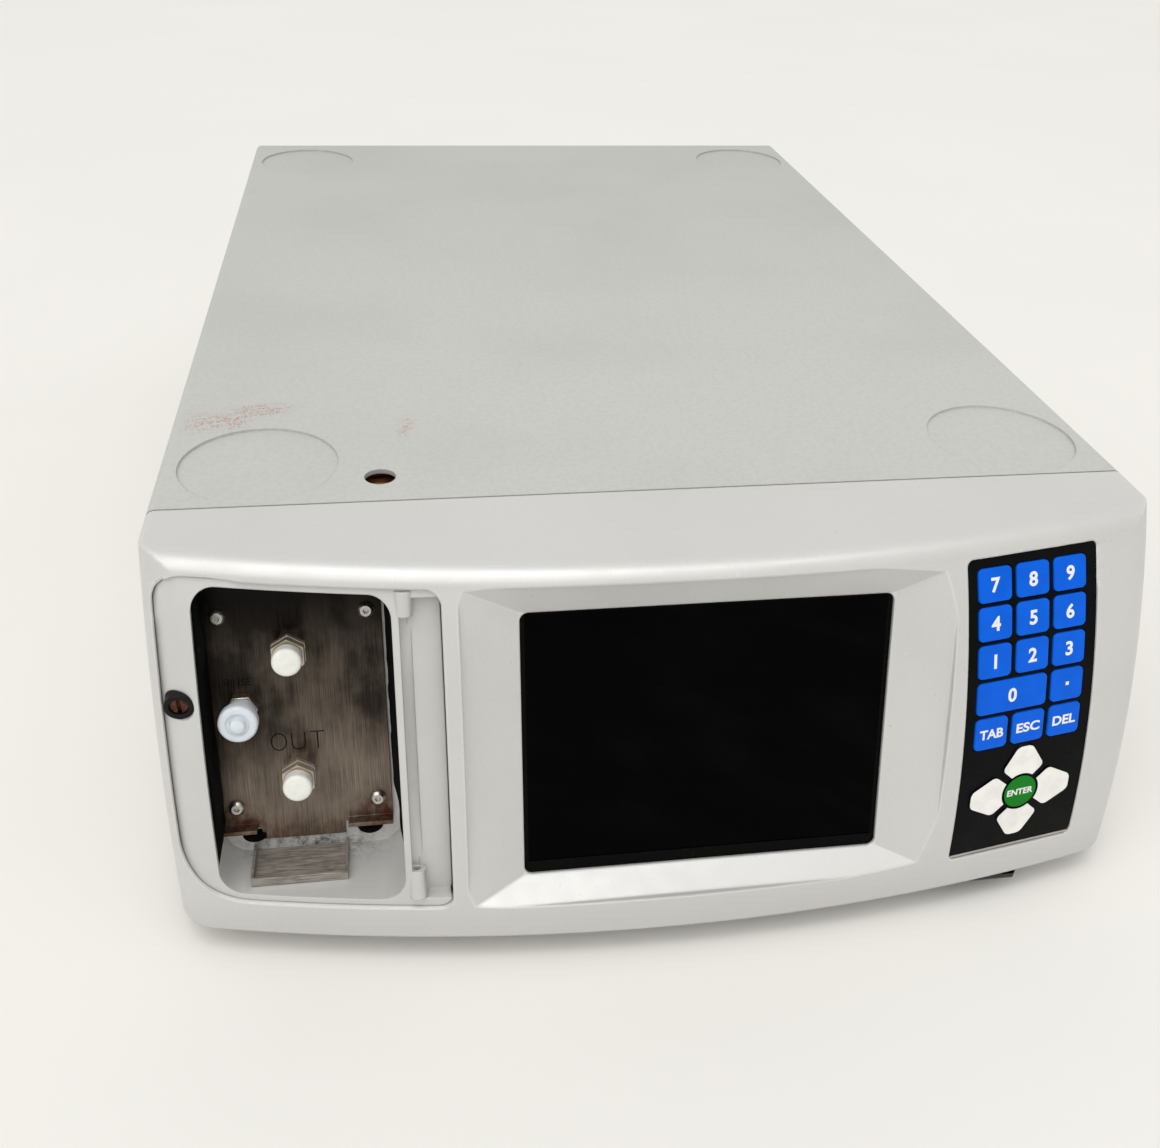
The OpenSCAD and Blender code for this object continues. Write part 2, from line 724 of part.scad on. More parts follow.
module port_bay() {
  slot_w = plate_w - 10;
  slot_s = plate_s - plate_l / 2 + 15.5;
  color([0.8, 0.81, 0.8]) difference() {
    union() {
      intersection() {
        front_body(bay_sink, 0);
        slab_y(seam_y - 2 * bezel_deep, 3 * bezel_deep) rounded_panel(bay_x0 + bay_clear, bay_x1 - bay_clear,
          bay_low + bay_clear, bay_top - bay_clear, bay_round, 4, 8, 4);
        plate_frame() block(-body_w, -body_h, -body_h, 2 * body_w, body_h + plate_seat + bay_back_t, 2 * body_h);
        difference() {
          slab_y(seam_y - 2 * bezel_deep, 3 * bezel_deep)
            translate([-hw, bot_z]) square([body_w, body_h]);
          channel_cut();
          hinge_frame() block(-hinge_room, -8, -2, hinge_room + channel_x0 - hinge_x + 1, 8 + hinge_room, hinge_span + 2);
        }
      }
      hinge_bosses();
    }
    intersection() {
      slab_y(seam_y - 2 * bezel_deep, 3 * bezel_deep)
        rounded_panel(well_x0, well_x1, well_low, well_top, 7, 8, 7, 6);
      plate_frame() block(-body_w, -body_h, -body_h, 2 * body_w, body_h + plate_seat, 2 * body_h);
    }
    plate_frame() block(plate_x - slot_w / 2, 0, slot_s, slot_w, 9, plate_l - 30);
    plate_frame() translate([plate_x, 0, plate_screw_mid]) four(plate_screw_x, plate_screw_s)
      rotate([-90, 0, 0]) cylinder(h = 9, d = plate_screw_shank + 0.1);
    bar_y(catch_x, catch_y - 6, catch_z, catch_d + 0.1, 26);
    hinge_frame() {
      translate([0, 0, hinge_low_l - hinge_bore_l]) cylinder(h = hinge_bore_l + 1, d = hinge_bore);
      translate([0, 0, hinge_span - 6]) cylinder(h = hinge_bore_l + 1, d = hinge_bore);
    }
  }
}

// The shallow channel beside the hinge, swept along the face
module channel_cut() {
  r = face_r(channel_x0);
  lo = asin((well_low + 1 - face_axis_z) / r);
  hi = asin((well_top - face_axis_z) / r);
  translate([0, face_axis_y, face_axis_z]) rotate([90, 0, 90]) rotate([0, 0, 180 - hi])
    rotate_extrude(angle = hi - lo, $fn = big_fn)
      translate([r - channel_deep, channel_x0]) square([2 * channel_deep, bay_x1 - channel_x0]);
}

hinge_span = (hinge_high_z - hinge_low_z) / cos(hinge_lean);
hinge_room = hinge_bore / 2 + 0.35;
hinge_bore_l = 5;
hinge_low_l = 4;

// The door hinge's axis: origin near its low end, local Z up the axis
module hinge_frame() {
  leaned(hinge_x, hinge_low_y, hinge_low_z, hinge_lean) children();
}

module hinge_bosses() {
  hinge_frame() {
    translate([0, 0, -5]) cylinder(h = 5 + hinge_low_l, d = hinge_d);
    translate([0, 0, hinge_span - 5]) cylinder(h = 7, d = hinge_d);
  }
}

module port_plate() {
  gap_x0 = port_x - 12.5;
  gap_x1 = port_x + 11.7;
  lip_s = plate_s - plate_l / 2 + 4;
  left = plate_x - plate_w / 2;
  color([0.5, 0.48, 0.46]) plate_frame() difference() {
    union() {
      slab_y(0, plate_t) rounded_panel(left, left + plate_w, lip_s, plate_s + plate_l / 2, 0, 0, 4, 4);
      block(gap_x0, 0, plate_s - plate_l / 2, gap_x1 - gap_x0, plate_t, 6);
      block(left, -4, lip_s, gap_x0 - left - 1, 4 + plate_t, plate_t);
      block(gap_x1 + 1, -4, lip_s, left + plate_w - gap_x1 - 1, 4 + plate_t, plate_t);
    }
    for (p = [[port_x, port_in_s], [port_x, port_out_s], [rinse_x, rinse_s]])
      translate([p[0], -1, p[1]]) rotate([-90, 0, 0]) cylinder(h = 4, d = port_stub_d + 0.2);
    translate([plate_x, -1, plate_screw_mid]) four(plate_screw_x, plate_screw_s)
      rotate([-90, 0, 0]) cylinder(h = 4, d = plate_screw_shank + 0.1);
  }
}

module plate_screws() {
  head_h = 1.6;
  color([0.7, 0.7, 0.7]) plate_frame() translate([plate_x, 0, plate_screw_mid]) four(plate_screw_x, plate_screw_s)
    rotate([-90, 0, 0]) difference() {
      union() {
        translate([0, 0, -head_h]) intersection() {
          cylinder(h = head_h, d = plate_screw_head);
          translate([0, 0, 2.3]) sphere(r = 2.75);
        }
        translate([0, 0, -tiny]) cylinder(h = 6, d = plate_screw_shank);
      }
      translate([0, 0, -head_h - 1]) cylinder(h = 2, d = 1.7, $fn = 6);
    }
}

tray_w = 27.5;
tray_l = 14;

module drip_tray() {
  wall = 0.8;
  x0 = port_x - 15.2;
  y1 = plate_y + (well_low + 4 - plate_z) * tan(plate_lean) - 0.5;
  color([0.6, 0.58, 0.55]) {
    block(x0, y1 - tray_l, well_low + 0.1, tray_w, tray_l, wall);
    block(x0, y1 - tray_l, well_low + 0.1, wall, tray_l, 3);
    block(x0 + tray_w - wall, y1 - tray_l, well_low + 0.1, wall, tray_l, 3);
    block(x0, y1 - tray_l, well_low + 0.1, tray_w, wall, 3);
  }
}

port_stub_d = 6;
nut_af = 8;
nut_h = 3.6;
cap_l = 9;
cap_gap = 0.3;
cap_wall_end = 1.6;

// One port: a nut on the plate, a stub in front and a tail that reaches the valve head
module port_fitting(x, s) {
  tail = (head_y - (plate_y + s * sin(plate_lean))) / cos(plate_lean) - 1;
  difference() {
    union() {
      plate_bar(x, s, port_stub_d, -nut_h - cap_l + cap_wall_end, 6);
      plate_bar(x, s, 3.2, 5, tail);
      plate_frame() translate([x, 0, s]) rotate([90, 0, 0]) cylinder(h = nut_h, d = nut_af / cos(30), $fn = 6);
    }
    plate_bar(x, s, port_bore, -30, tail + 1);
  }
}

module port_fittings() {
  color([0.75, 0.72, 0.65]) {
    port_fitting(port_x, port_in_s);
    port_fitting(port_x, port_out_s);
    port_fitting(rinse_x, rinse_s);
  }
}

module port_cap(x, s, d) {
  difference() {
    plate_bar(x, s, d, -nut_h - cap_gap - cap_l, -nut_h - cap_gap);
    plate_bar(x, s, port_stub_d + 2 * running, -nut_h - cap_gap - cap_l + cap_wall_end, 0);
  }
}

module in_cap() {
  color([0.95, 0.95, 0.92]) port_cap(port_x, port_in_s, cap_d);
}

module out_cap() {
  color([0.95, 0.95, 0.92]) port_cap(port_x, port_out_s, cap_d);
}

module rinse_cap() {
  color([0.8, 0.84, 0.88]) port_cap(rinse_x, rinse_s, rinse_cap_d);
}

catch_screw_d = 5;

module catch_bush() {
  color([0.05, 0.05, 0.05]) difference() {
    bar_y(catch_x, catch_y, catch_z, catch_d, 12);
    bar_y(catch_x, catch_y - 1, catch_z, catch_screw_d + 0.1, 14);
  }
}

module catch_screw() {
  color([0.4, 0.15, 0.1]) difference() {
    bar_y(catch_x, catch_y + 0.8, catch_z, catch_screw_d, 10);
    block(catch_x - 0.5, catch_y, catch_z - 3, 1, 2, 6);
  }
}

// ---------- power rocker ----------

rocker_axis_z = bot_z + 1.3;
rocker_tilt = 9;
rocker_w = 13;
rocker_l = 6.6;
rocker_pin_d = 2;

module rocker_housing() {
  flange = 1.8;
  color([0.06, 0.06, 0.06]) difference() {
    union() {
      block(rocker_x - 12, rocker_y - 7.6, bot_z - flange, 24, 15.2, flange);
      block(rocker_x - rocker_body_w / 2, rocker_y - rocker_body_l / 2, bot_z - tiny,
        rocker_body_w, rocker_body_l, 9.5);
    }
    block(rocker_x - rocker_w / 2 - 0.6, rocker_y - rocker_l / 2 - 0.3, bot_z - 5, rocker_w + 1.2, rocker_l + 0.6, 13);
    bar_y(rocker_x, rocker_y - 5.5, rocker_axis_z, rocker_pin_d + 2 * running, 11);
  }
}

module power_rocker() {
  half = rocker_w / 2;
  color([0.08, 0.08, 0.08]) translate([rocker_x, 0, rocker_axis_z]) rotate([0, rocker_tilt, 0]) {
    slab_y(rocker_y - rocker_l / 2, rocker_l)
      polygon([[-half, -3.2], [0, -4.4], [half, -3.2], [half, 0.5], [3, 3], [-3, 3], [-half, 0.5]]);
    bar_y(0, rocker_y - rocker_body_l / 2 + 0.3, 0, rocker_pin_d, rocker_body_l - 0.6);
  }
}

// ---------- back panel ----------

inlet_body_w = 46;
inlet_body_h = 22;
inlet_l = 24;
inlet_flange = 2.5;
mouth_x = inlet_x - 9;
mouth_deep = 16;
drawer_x = inlet_x + 14;
drawer_w = 12;
drawer_h = 18;
drawer_l = 20;
fan_y = rear_y - fan_t - 0.1;
signal_h = 9;
signal_places = [[-24, 17, bot_z + 66], [22, 39, bot_z + 66], [0, 12, bot_z + 40]];

module inlet_socket() {
  outer_y = back_y + inlet_flange;
  color([0.06, 0.06, 0.06]) difference() {
    union() {
      block(inlet_x - inlet_body_w / 2 - 3, back_y - 0.15, inlet_z - inlet_body_h / 2 - 2,
        inlet_body_w + 6, inlet_flange + 0.15, inlet_body_h + 4);
      block(inlet_x - inlet_body_w / 2, outer_y - inlet_l, inlet_z - inlet_body_h / 2,
        inlet_body_w, inlet_l - 1, inlet_body_h);
    }
    block(mouth_x - inlet_w / 2, outer_y - mouth_deep, inlet_z - inlet_h / 2, inlet_w, mouth_deep + 1, inlet_h);
    block(drawer_x - drawer_w / 2 - 0.1, outer_y - drawer_l, inlet_z - drawer_h / 2 - 0.1,
      drawer_w + 0.2, drawer_l + 1, drawer_h + 0.2);
  }
  color([0.8, 0.75, 0.5]) for (dx = [-7, 0, 7])
    block(mouth_x + dx - 1, outer_y - mouth_deep - tiny, inlet_z - 2 + (dx == 0 ? 3 : 0), 2, 10, 4);
}

module fuse_drawer() {
  y0 = back_y + inlet_flange - drawer_l + 0.3;
  color([0.1, 0.1, 0.1]) difference() {
    block(drawer_x - drawer_w / 2, y0, inlet_z - drawer_h / 2, drawer_w, drawer_l + 0.2, drawer_h);
    bar_y(drawer_x, y0 + 2, inlet_z + 3, 5.4, drawer_l - 5);
    block(drawer_x - 2.7, y0 + 2, inlet_z + 3, 5.4, drawer_l - 5, drawer_h);
    block(drawer_x - 4, y0 + drawer_l - 1.2, inlet_z - drawer_h / 2 + 1.2, 8, 3, 1.5);
  }
}

fan_hub_d = 26;
fan_blades = 7;
fan_sweep = fan_w / 2 - 3.2;
fan_screw = fan_w / 2 - 5;
fan_screw_d = 3;

module fan_frame() {
  color([0.08, 0.08, 0.08]) translate([fan_x, 0, fan_z]) {
    difference() {
      slab_y(fan_y, fan_t) rrect(fan_w, fan_w, 3);
      slab_y(fan_y - 1, fan_t + 2) circle(r = fan_sweep + 0.8);
      four(fan_screw, fan_screw) bar_y(0, fan_y + fan_t - 10, 0, fan_screw_d + 0.1, 12);
    }
    bar_y(0, fan_y, 0, fan_hub_d, 2);
    bar_y(0, fan_y, 0, 4, 12);
    for (turn = [45:90:315]) rotate([0, turn, 0])
      block(fan_hub_d / 2 - 1, fan_y, -1.5, fan_sweep - fan_hub_d / 2 + 2.5, 2, 3);
  }
}

module fan_rotor() {
  hub_y = fan_y + 2.5;
  hub_l = fan_t - 5;
  color([0.1, 0.1, 0.1]) translate([fan_x, 0, fan_z]) difference() {
    union() {
      bar_y(0, hub_y, 0, fan_hub_d, hub_l);
      for (i = [0:fan_blades - 1]) rotate([0, i * 360 / fan_blades, 0])
        translate([fan_hub_d / 2 - 1, hub_y + hub_l / 2, 0]) rotate([40, 0, 0])
          translate([0, -7, -0.6]) cube([fan_sweep - fan_hub_d / 2 + 0.4, 14, 1.2]);
    }
    bar_y(0, hub_y - 1, 0, 4 + 2 * running, 12);
  }
}

module signal_sockets() {
  color([0.7, 0.7, 0.65]) for (p = signal_places) {
    block(p[0] - p[1] / 2, rear_y - 8, p[2] - signal_h / 2, p[1], 8 + back_y - rear_y + 2.2, signal_h);
    block(p[0] - p[1] / 2 - 6, back_y - 0.15, p[2] - signal_h / 2 - 1.5, p[1] + 12, 0.9, signal_h + 3);
  }
}

// ---------- electronics ----------

psu_w = 96;
psu_l = 126;
psu_h = 40;
psu_x = inner_hw - sheet - 4 - psu_w;
psu_y = back_y - foot_back - 8 - psu_l;

module power_supply() {
  color([0.7, 0.71, 0.72]) difference() {
    block(psu_x, psu_y, deck_z + 0.1, psu_w, psu_l, psu_h);
    block(psu_x + sheet, psu_y - 1, deck_z + 14, psu_w - 2 * sheet, psu_l + 2, psu_h);
  }
  color([0.2, 0.35, 0.2]) {
    block(psu_x + sheet + 0.2, psu_y + 4, deck_z + 13.9, psu_w - 2 * sheet - 0.4, psu_l - 8, 1.8);
    block(psu_x + 16, psu_y + 20, deck_z + 15, 30, 34, 22);
    for (i = [0:2]) translate([psu_x + 70, psu_y + 24 + i * 26, deck_z + 15]) cylinder(h = 20, d = 16);
  }
}

board_w = 112;
board_l = 150;

module control_board() {
  x = inner_hw - sheet - 6 - board_w;
  y = seam_y + 20;
  post = 8;
  color([0.1, 0.35, 0.15]) {
    block(x, y, deck_z + post, board_w, board_l, 1.6);
    for (dx = [6, board_w - 6], dy = [6, board_l - 6])
      translate([x + dx, y + dy, deck_z + 0.1]) cylinder(h = post, d = 6);
    for (i = [0:3]) block(x + 16 + i * 24, y + 30, deck_z + post + 1.5, 14, 14, 3);
    block(x + 10, y + board_l - 24, deck_z + post + 1.5, board_w - 20, 12, 9);
  }
}

// ---------- syringe drive ----------

frame_x0 = rod_x - 11;
frame_x1 = screw_x + 14;
frame_x2 = motor_x + motor_w / 2 + 1;
frame_h = drive_z + 30 - deck_z;

module drive_frame() {
  color([0.62, 0.63, 0.65]) difference() {
    union() {
      block(frame_x0, plate_a_y, deck_z + 0.1, frame_x1 - frame_x0, plate_a_t, frame_h);
      block(frame_x0, plate_b_y, deck_z + 0.1, frame_x2 - frame_x0, plate_b_t, frame_h);
      block(frame_x0, plate_a_y, deck_z + 0.1, frame_x1 - frame_x0, plate_b_y + plate_b_t - plate_a_y, 6);
    }
    bar_y(drive_x, plate_a_y - 1, drive_z, barrel_d + 0.1, plate_a_t + 2);
    for (y = [plate_a_y, plate_b_y]) {
      bar_y(screw_x, y - 1, drive_z, 2 * bearing_r + 0.1, plate_a_t + 2);
      for (dz = [-rod_dz, rod_dz]) bar_y(rod_x, y - 1, drive_z + dz, rod_d + 2 * running, plate_a_t + 2);
    }
    bar_y(motor_x, plate_b_y - 1, drive_z, shaft_d + 4, plate_b_t + 2);
  }
}

module guide_rods() {
  color([0.8, 0.8, 0.82]) for (dz = [-rod_dz, rod_dz])
    bar_y(rod_x, plate_a_y + 1, drive_z + dz, rod_d, plate_b_y + plate_b_t - plate_a_y - 2);
}

module screw_bearings() {
  color([0.75, 0.75, 0.78]) for (y = [plate_a_y, plate_b_y]) difference() {
    bar_y(screw_x, y + 0.5, drive_z, 2 * bearing_r, plate_a_t - 1);
    bar_y(screw_x, y - 1, drive_z, screw_d + 2 * running, plate_a_t + 2);
  }
}

module toothed_pulley(x) {
  bar_y(x, pulley_y, drive_z, 2 * pulley_r, pulley_t);
  bar_y(x, pulley_y + pulley_t - tiny, drive_z, pulley_r, 5);
}

module lead_screw() {
  color([0.7, 0.7, 0.68]) {
    bar_y(screw_x, plate_a_y + 0.5, drive_z, screw_d, pulley_y - plate_a_y);
    toothed_pulley(screw_x);
  }
}

module carriage() {
  color([0.5, 0.52, 0.56]) difference() {
    block(frame_x0, car_y, drive_z - 29, screw_x + 12 - frame_x0, car_t, 58);
    bar_y(screw_x, car_y - 1, drive_z, screw_d + 2 * running, car_t + 2);
    for (dz = [-rod_dz, rod_dz]) bar_y(rod_x, car_y - 1, drive_z + dz, rod_d + 2 * running, car_t + 2);
  }
}

plunger_y = barrel_y + 2;
seal_l = 3;
seal_deep = 2;

module plunger() {
  seal_y = plunger_y + 3;
  color([0.9, 0.9, 0.92]) difference() {
    bar_y(drive_x, plunger_y, drive_z, plunger_d, car_y - plunger_y);
    difference() {
      bar_y(drive_x, seal_y, drive_z, plunger_d + 2, seal_l);
      bar_y(drive_x, seal_y - 1, drive_z, plunger_d - 2 * seal_deep, seal_l + 2);
    }
  }
  color([0.2, 0.2, 0.2]) difference() {
    bar_y(drive_x, seal_y + 0.1, drive_z, plunger_d, seal_l - 0.2);
    bar_y(drive_x, seal_y - 1, drive_z, plunger_d - 2 * seal_deep + 0.1, seal_l + 2);
  }
}

module barrel() {
  color([0.85, 0.87, 0.9]) difference() {
    bar_y(drive_x, barrel_y, drive_z, barrel_d, barrel_l);
    bar_y(drive_x, barrel_y - 1, drive_z, bore_d, barrel_l + 2);
  }
}

module valve_head() {
  low = drive_z - 28;
  color([0.55, 0.56, 0.58]) {
    block(drive_x - 22, head_y, low, 44, head_l, 51);
    for (z = [low - 9, low + 51 - tiny])
      translate([drive_x, head_y + head_l / 2, z]) cylinder(h = 9 + tiny, d = 15, $fn = 6);
  }
}

module motor() {
  color([0.12, 0.12, 0.13]) difference() {
    slab_y(plate_b_y - motor_l, motor_l) translate([motor_x, drive_z]) rrect(motor_w, motor_w, 4);
    bar_y(motor_x, plate_b_y - 21, drive_z, shaft_d + 2 * running, 22);
  }
}

module motor_pulley() {
  color([0.7, 0.7, 0.72]) {
    bar_y(motor_x, plate_b_y - 20, drive_z, shaft_d, pulley_y - plate_b_y + 21);
    toothed_pulley(motor_x);
  }
}

// A loop outline round the two pulleys
module belt_loop(r) {
  for (x = [screw_x, motor_x]) translate([x, drive_z]) circle(r);
  translate([screw_x, drive_z - r]) square([motor_x - screw_x, 2 * r]);
}

module drive_belt() {
  color([0.1, 0.1, 0.1]) slab_y(pulley_y + 1, pulley_t - 2) difference() {
    belt_loop(pulley_r + belt_gap + belt_t);
    belt_loop(pulley_r + belt_gap);
  }
}

cover();
base_tray();
front_plate();
rear_panel();
bezel();
port_bay();
feet();
housing_screws();
display_glass();
lcd_module();
keypad_overlay();
key_mat();
grid_key(-1, 0);  // key_7
grid_key(0, 0);  // key_8
grid_key(1, 0);  // key_9
grid_key(-1, 1);  // key_4
grid_key(0, 1);  // key_5
grid_key(1, 1);  // key_6
grid_key(-1, 2);  // key_1
grid_key(0, 2);  // key_2
grid_key(1, 2);  // key_3
zero_key();  // key_0
grid_key(1, 3);  // key_point
grid_key(-1, 4);  // key_tab
grid_key(0, 4);  // key_esc
grid_key(1, 4);  // key_del
enter_key();  // key_enter
arrow_key(0);  // key_up
arrow_key(-90);  // key_right
arrow_key(180);  // key_down
arrow_key(90);  // key_left
port_plate();
plate_screws();
drip_tray();
port_fittings();
in_cap();
out_cap();
rinse_cap();
catch_bush();
catch_screw();
rocker_housing();
power_rocker();
inlet_socket();
fuse_drawer();
fan_frame();
fan_rotor();
signal_sockets();
power_supply();
control_board();
drive_frame();
guide_rods();
screw_bearings();
lead_screw();
carriage();
plunger();
barrel();
valve_head();
motor();
motor_pulley();
drive_belt();
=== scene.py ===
import json
import math

import bmesh
import bpy
from bpy.props import FloatProperty, FloatVectorProperty, PointerProperty
from bpy.types import Operator, Panel, PropertyGroup
from mathutils import Matrix, Vector, noise
from mathutils.kdtree import KDTree

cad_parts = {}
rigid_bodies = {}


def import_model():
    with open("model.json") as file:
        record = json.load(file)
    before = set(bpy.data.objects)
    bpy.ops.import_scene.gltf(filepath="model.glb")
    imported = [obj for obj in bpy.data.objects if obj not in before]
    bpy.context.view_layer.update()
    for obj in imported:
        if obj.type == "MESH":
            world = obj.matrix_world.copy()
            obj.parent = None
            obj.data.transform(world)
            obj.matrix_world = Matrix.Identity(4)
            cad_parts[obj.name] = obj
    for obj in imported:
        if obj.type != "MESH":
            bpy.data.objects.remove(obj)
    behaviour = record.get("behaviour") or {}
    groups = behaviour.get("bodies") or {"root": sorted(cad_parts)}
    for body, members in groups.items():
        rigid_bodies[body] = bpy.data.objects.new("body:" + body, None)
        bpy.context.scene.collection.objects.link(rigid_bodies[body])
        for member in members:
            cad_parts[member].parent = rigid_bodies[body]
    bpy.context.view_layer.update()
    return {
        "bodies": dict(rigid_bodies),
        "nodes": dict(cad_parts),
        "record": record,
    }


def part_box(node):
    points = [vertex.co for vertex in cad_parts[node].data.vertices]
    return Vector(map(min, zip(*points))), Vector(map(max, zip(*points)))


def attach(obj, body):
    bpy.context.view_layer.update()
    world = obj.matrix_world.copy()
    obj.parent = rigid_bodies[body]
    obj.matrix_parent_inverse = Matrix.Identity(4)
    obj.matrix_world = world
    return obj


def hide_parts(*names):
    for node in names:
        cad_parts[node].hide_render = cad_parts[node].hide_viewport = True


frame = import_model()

bl_info = {
    "name": "Syringe Pump Looks",
    "version": (1, 0, 0),
    "blender": (4, 5, 0),
    "location": "View3D > Sidebar > Pump",
    "description": "Surfaces, lettering and stage of a bench-top syringe pump",
    "category": "Object",
}

MM = 0.001
COVER_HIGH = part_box("cover")[1]
BEZEL_LOW, BEZEL_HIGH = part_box("bezel")
TOP_Z = COVER_HIGH.z
HALF_W = COVER_HIGH.x
SEAM_Y = BEZEL_HIGH.y
BOTTOM_Z = BEZEL_LOW.z
WELD = 0.002 * MM  # points closer than this are one
FRONT_OVER_LINER = 1.2 * MM  # the liner's land lies this far behind the bezel's face
PLATE_MIDDLE = Vector((0, -191.15 * MM, TOP_Z - 57.5 * MM))
# Each port's height up the plate and the width of its cap, then the sizes of the round key and of the
# pads about it, all in millimetres. A pad's sides are its outer corners, for a flat and an upright pad.
PORTS = {"in": (25.3, 8.2), "out": (-13.0, 8.2), "rinse": (7.9, 10.9)}
ROUND_KEY_RADIUS = 5.5
PAD_HOLLOW_RADIUS = 6.35
PAD_SIDES = {0: [(17.3, 2.6), (9.3, 6.9)], 90: [(15.8, 2.4), (8.5, 7.1)]}
PAD_ROUNDING = 1.3 * MM
ROUND_KEY_ROWS = 6  # key pitches from the first row down to the round key
ROUND_KEY_SHIFT = 0.5 * MM
FILM_THICKNESS = 0.09 * MM
FILM_LIFT = 0.02 * MM


def tone(red, green, blue):
    """A linear colour from its usual 0 to 255 parts."""
    parts = [c / 255 for c in (red, green, blue)]
    return tuple(c / 12.92 if c <= 0.04045 else ((c + 0.055) / 1.055) ** 2.4 for c in parts)


def size_value(name, text, default):
    """A length that a user may change, in metres."""
    return FloatProperty(name=name, description=text, default=default, min=0.0, unit="LENGTH", precision=5)


def colour_value(name, text, red, green, blue):
    """A colour that a user may change."""
    return FloatVectorProperty(
        name=name, description=text, default=tone(red, green, blue), size=3, min=0.0, max=1.0, subtype="COLOR"
    )


# ---------- values ----------


class PumpShape(PropertyGroup):
    """Sizes of the pump's curved front, its window, keypad and port bay."""

    side_radius: size_value("Side radius", "Radius of the face seen from the side", 288 * MM)
    plan_radius: size_value("Plan radius", "Radius of the face seen from above", 642 * MM)
    axis_drop: size_value("Centre drop", "Depth of the side radius's centre below the top", 125.3 * MM)
    corner_radius: size_value("Corner radius", "Radius of the bezel's upright corners", 14 * MM)
    brow_radius: size_value("Brow radius", "Radius of the rounding along the top front edge", 7 * MM)
    brow_bite: size_value("Brow offset", "How far the rounding is cut behind the true tangent", 0.12 * MM)
    ridge_blend: size_value("Ridge blend", "Radius of the soft rounding along the window's ridges", 1.1 * MM)
    lean: FloatProperty(
        name="Lean", description="Lean of the port plate", default=math.radians(15), subtype="ANGLE"
    )
    window_lean: FloatProperty(
        name="Window lean", description="Lean of the glass", default=math.radians(15.5), subtype="ANGLE"
    )
    key_pitch_x: size_value("Key pitch across", "Distance between key columns", 12.55 * MM)
    key_pitch_y: size_value("Key pitch along", "Distance between key rows", 11.4 * MM)
    first_row: size_value("First row", "Height of the first key row above the keypad's middle", 40.2 * MM)
    keypad_side: size_value("Keypad side", "Keypad's middle, inwards from the right side", 42 * MM)
    keypad_drop: size_value("Keypad drop", "Keypad's middle, down from the top", 50.6 * MM)
    letter_height: size_value("Engraving height", "Height of the letters on the port plate", 5.3 * MM)
    stroke_width: size_value("Engraving width", "Width of an engraved line", 0.34 * MM)
    seal_thickness: size_value("Seal thickness", "Thickness of the foam that lines the well", 0.8 * MM)


class PumpColours(PropertyGroup):
    """Colours of the pump's finishes."""

    cover: colour_value("Cover", "Fine-textured paint on the cover", 196, 197, 193)
    # Painted shade: the cover's paint, darker towards the back.
    cover_far_shade: colour_value("Cover, far shade", "The same paint, darker towards the back as painted shade", 180, 182, 178)
    rust: colour_value("Rust", "Rusty scuffs and stains", 166, 98, 66)
    bezel: colour_value("Bezel", "Silver paint on the bezel", 211, 210, 208)
    liner: colour_value("Liner", "Silver-grey plastic of the port bay", 206, 206, 203)
    # Grime, and painted shade where it darkens the liner round the port plate's foot.
    grime_and_shade: colour_value("Grime and shade", "Grime, and painted shade round the port plate's foot", 82, 74, 62)
    plate: colour_value("Plate", "Brushed steel low on the port plate", 102, 90, 79)
    # Painted shade and painted dark reflection high on the port plate.
    plate_shade_and_reflection: colour_value("Plate, painted shade", "Painted shade and reflection high on the port plate", 31, 25, 21)
    blue: colour_value("Blue keys", "Blue of the number keys", 2, 98, 226)
    green: colour_value("Green key", "Green of the round key", 12, 126, 28)
    pad: colour_value("Arrow pads", "Off-white of the arrow pads", 246, 244, 239)
    legend: colour_value("Legends", "White of the printed legends", 238, 240, 240)
    floor: colour_value("Floor", "Pale floor and background", 237, 235, 230)


class PumpStage(PropertyGroup):
    """Camera and lamps."""

    lens: FloatProperty(name="Lens", description="Focal length in millimetres", default=36.96, min=1.0)
    eye: FloatVectorProperty(
        name="Camera", description="Place of the camera", default=(-0.0736, -0.45955, 0.2906), size=3,
        unit="LENGTH",
    )
    yaw: FloatProperty(name="Yaw", description="Turn to the right", default=0.1683, subtype="ANGLE")
    pitch: FloatProperty(name="Pitch", description="Tilt downwards", default=0.5866, subtype="ANGLE")
    roll: FloatProperty(name="Roll", description="Turn about the view line", default=0.0430, subtype="ANGLE")
    world_level: FloatProperty(
        name="Surround", description="Strength of the even light", default=0.68, min=0.0
    )
    key_level: FloatProperty(
        name="Overhead lamp", description="Watts of the lamp over the front", default=2.6, min=0.0
    )
    sun_level: FloatProperty(
        name="Sky lamp", description="Strength of the broad light from above", default=1.15, min=0.0
    )


class PumpSettings(PropertyGroup):
    """Everything that a user may change."""

    shape: PointerProperty(type=PumpShape, name="Shape", description="Sizes")
    colours: PointerProperty(type=PumpColours, name="Colours", description="Colours of the finishes")
    stage: PointerProperty(type=PumpStage, name="Stage", description="Camera and lamps")


def settings():
    """The scene's values."""
    return bpy.context.scene.pump_looks


# ---------- finishes ----------


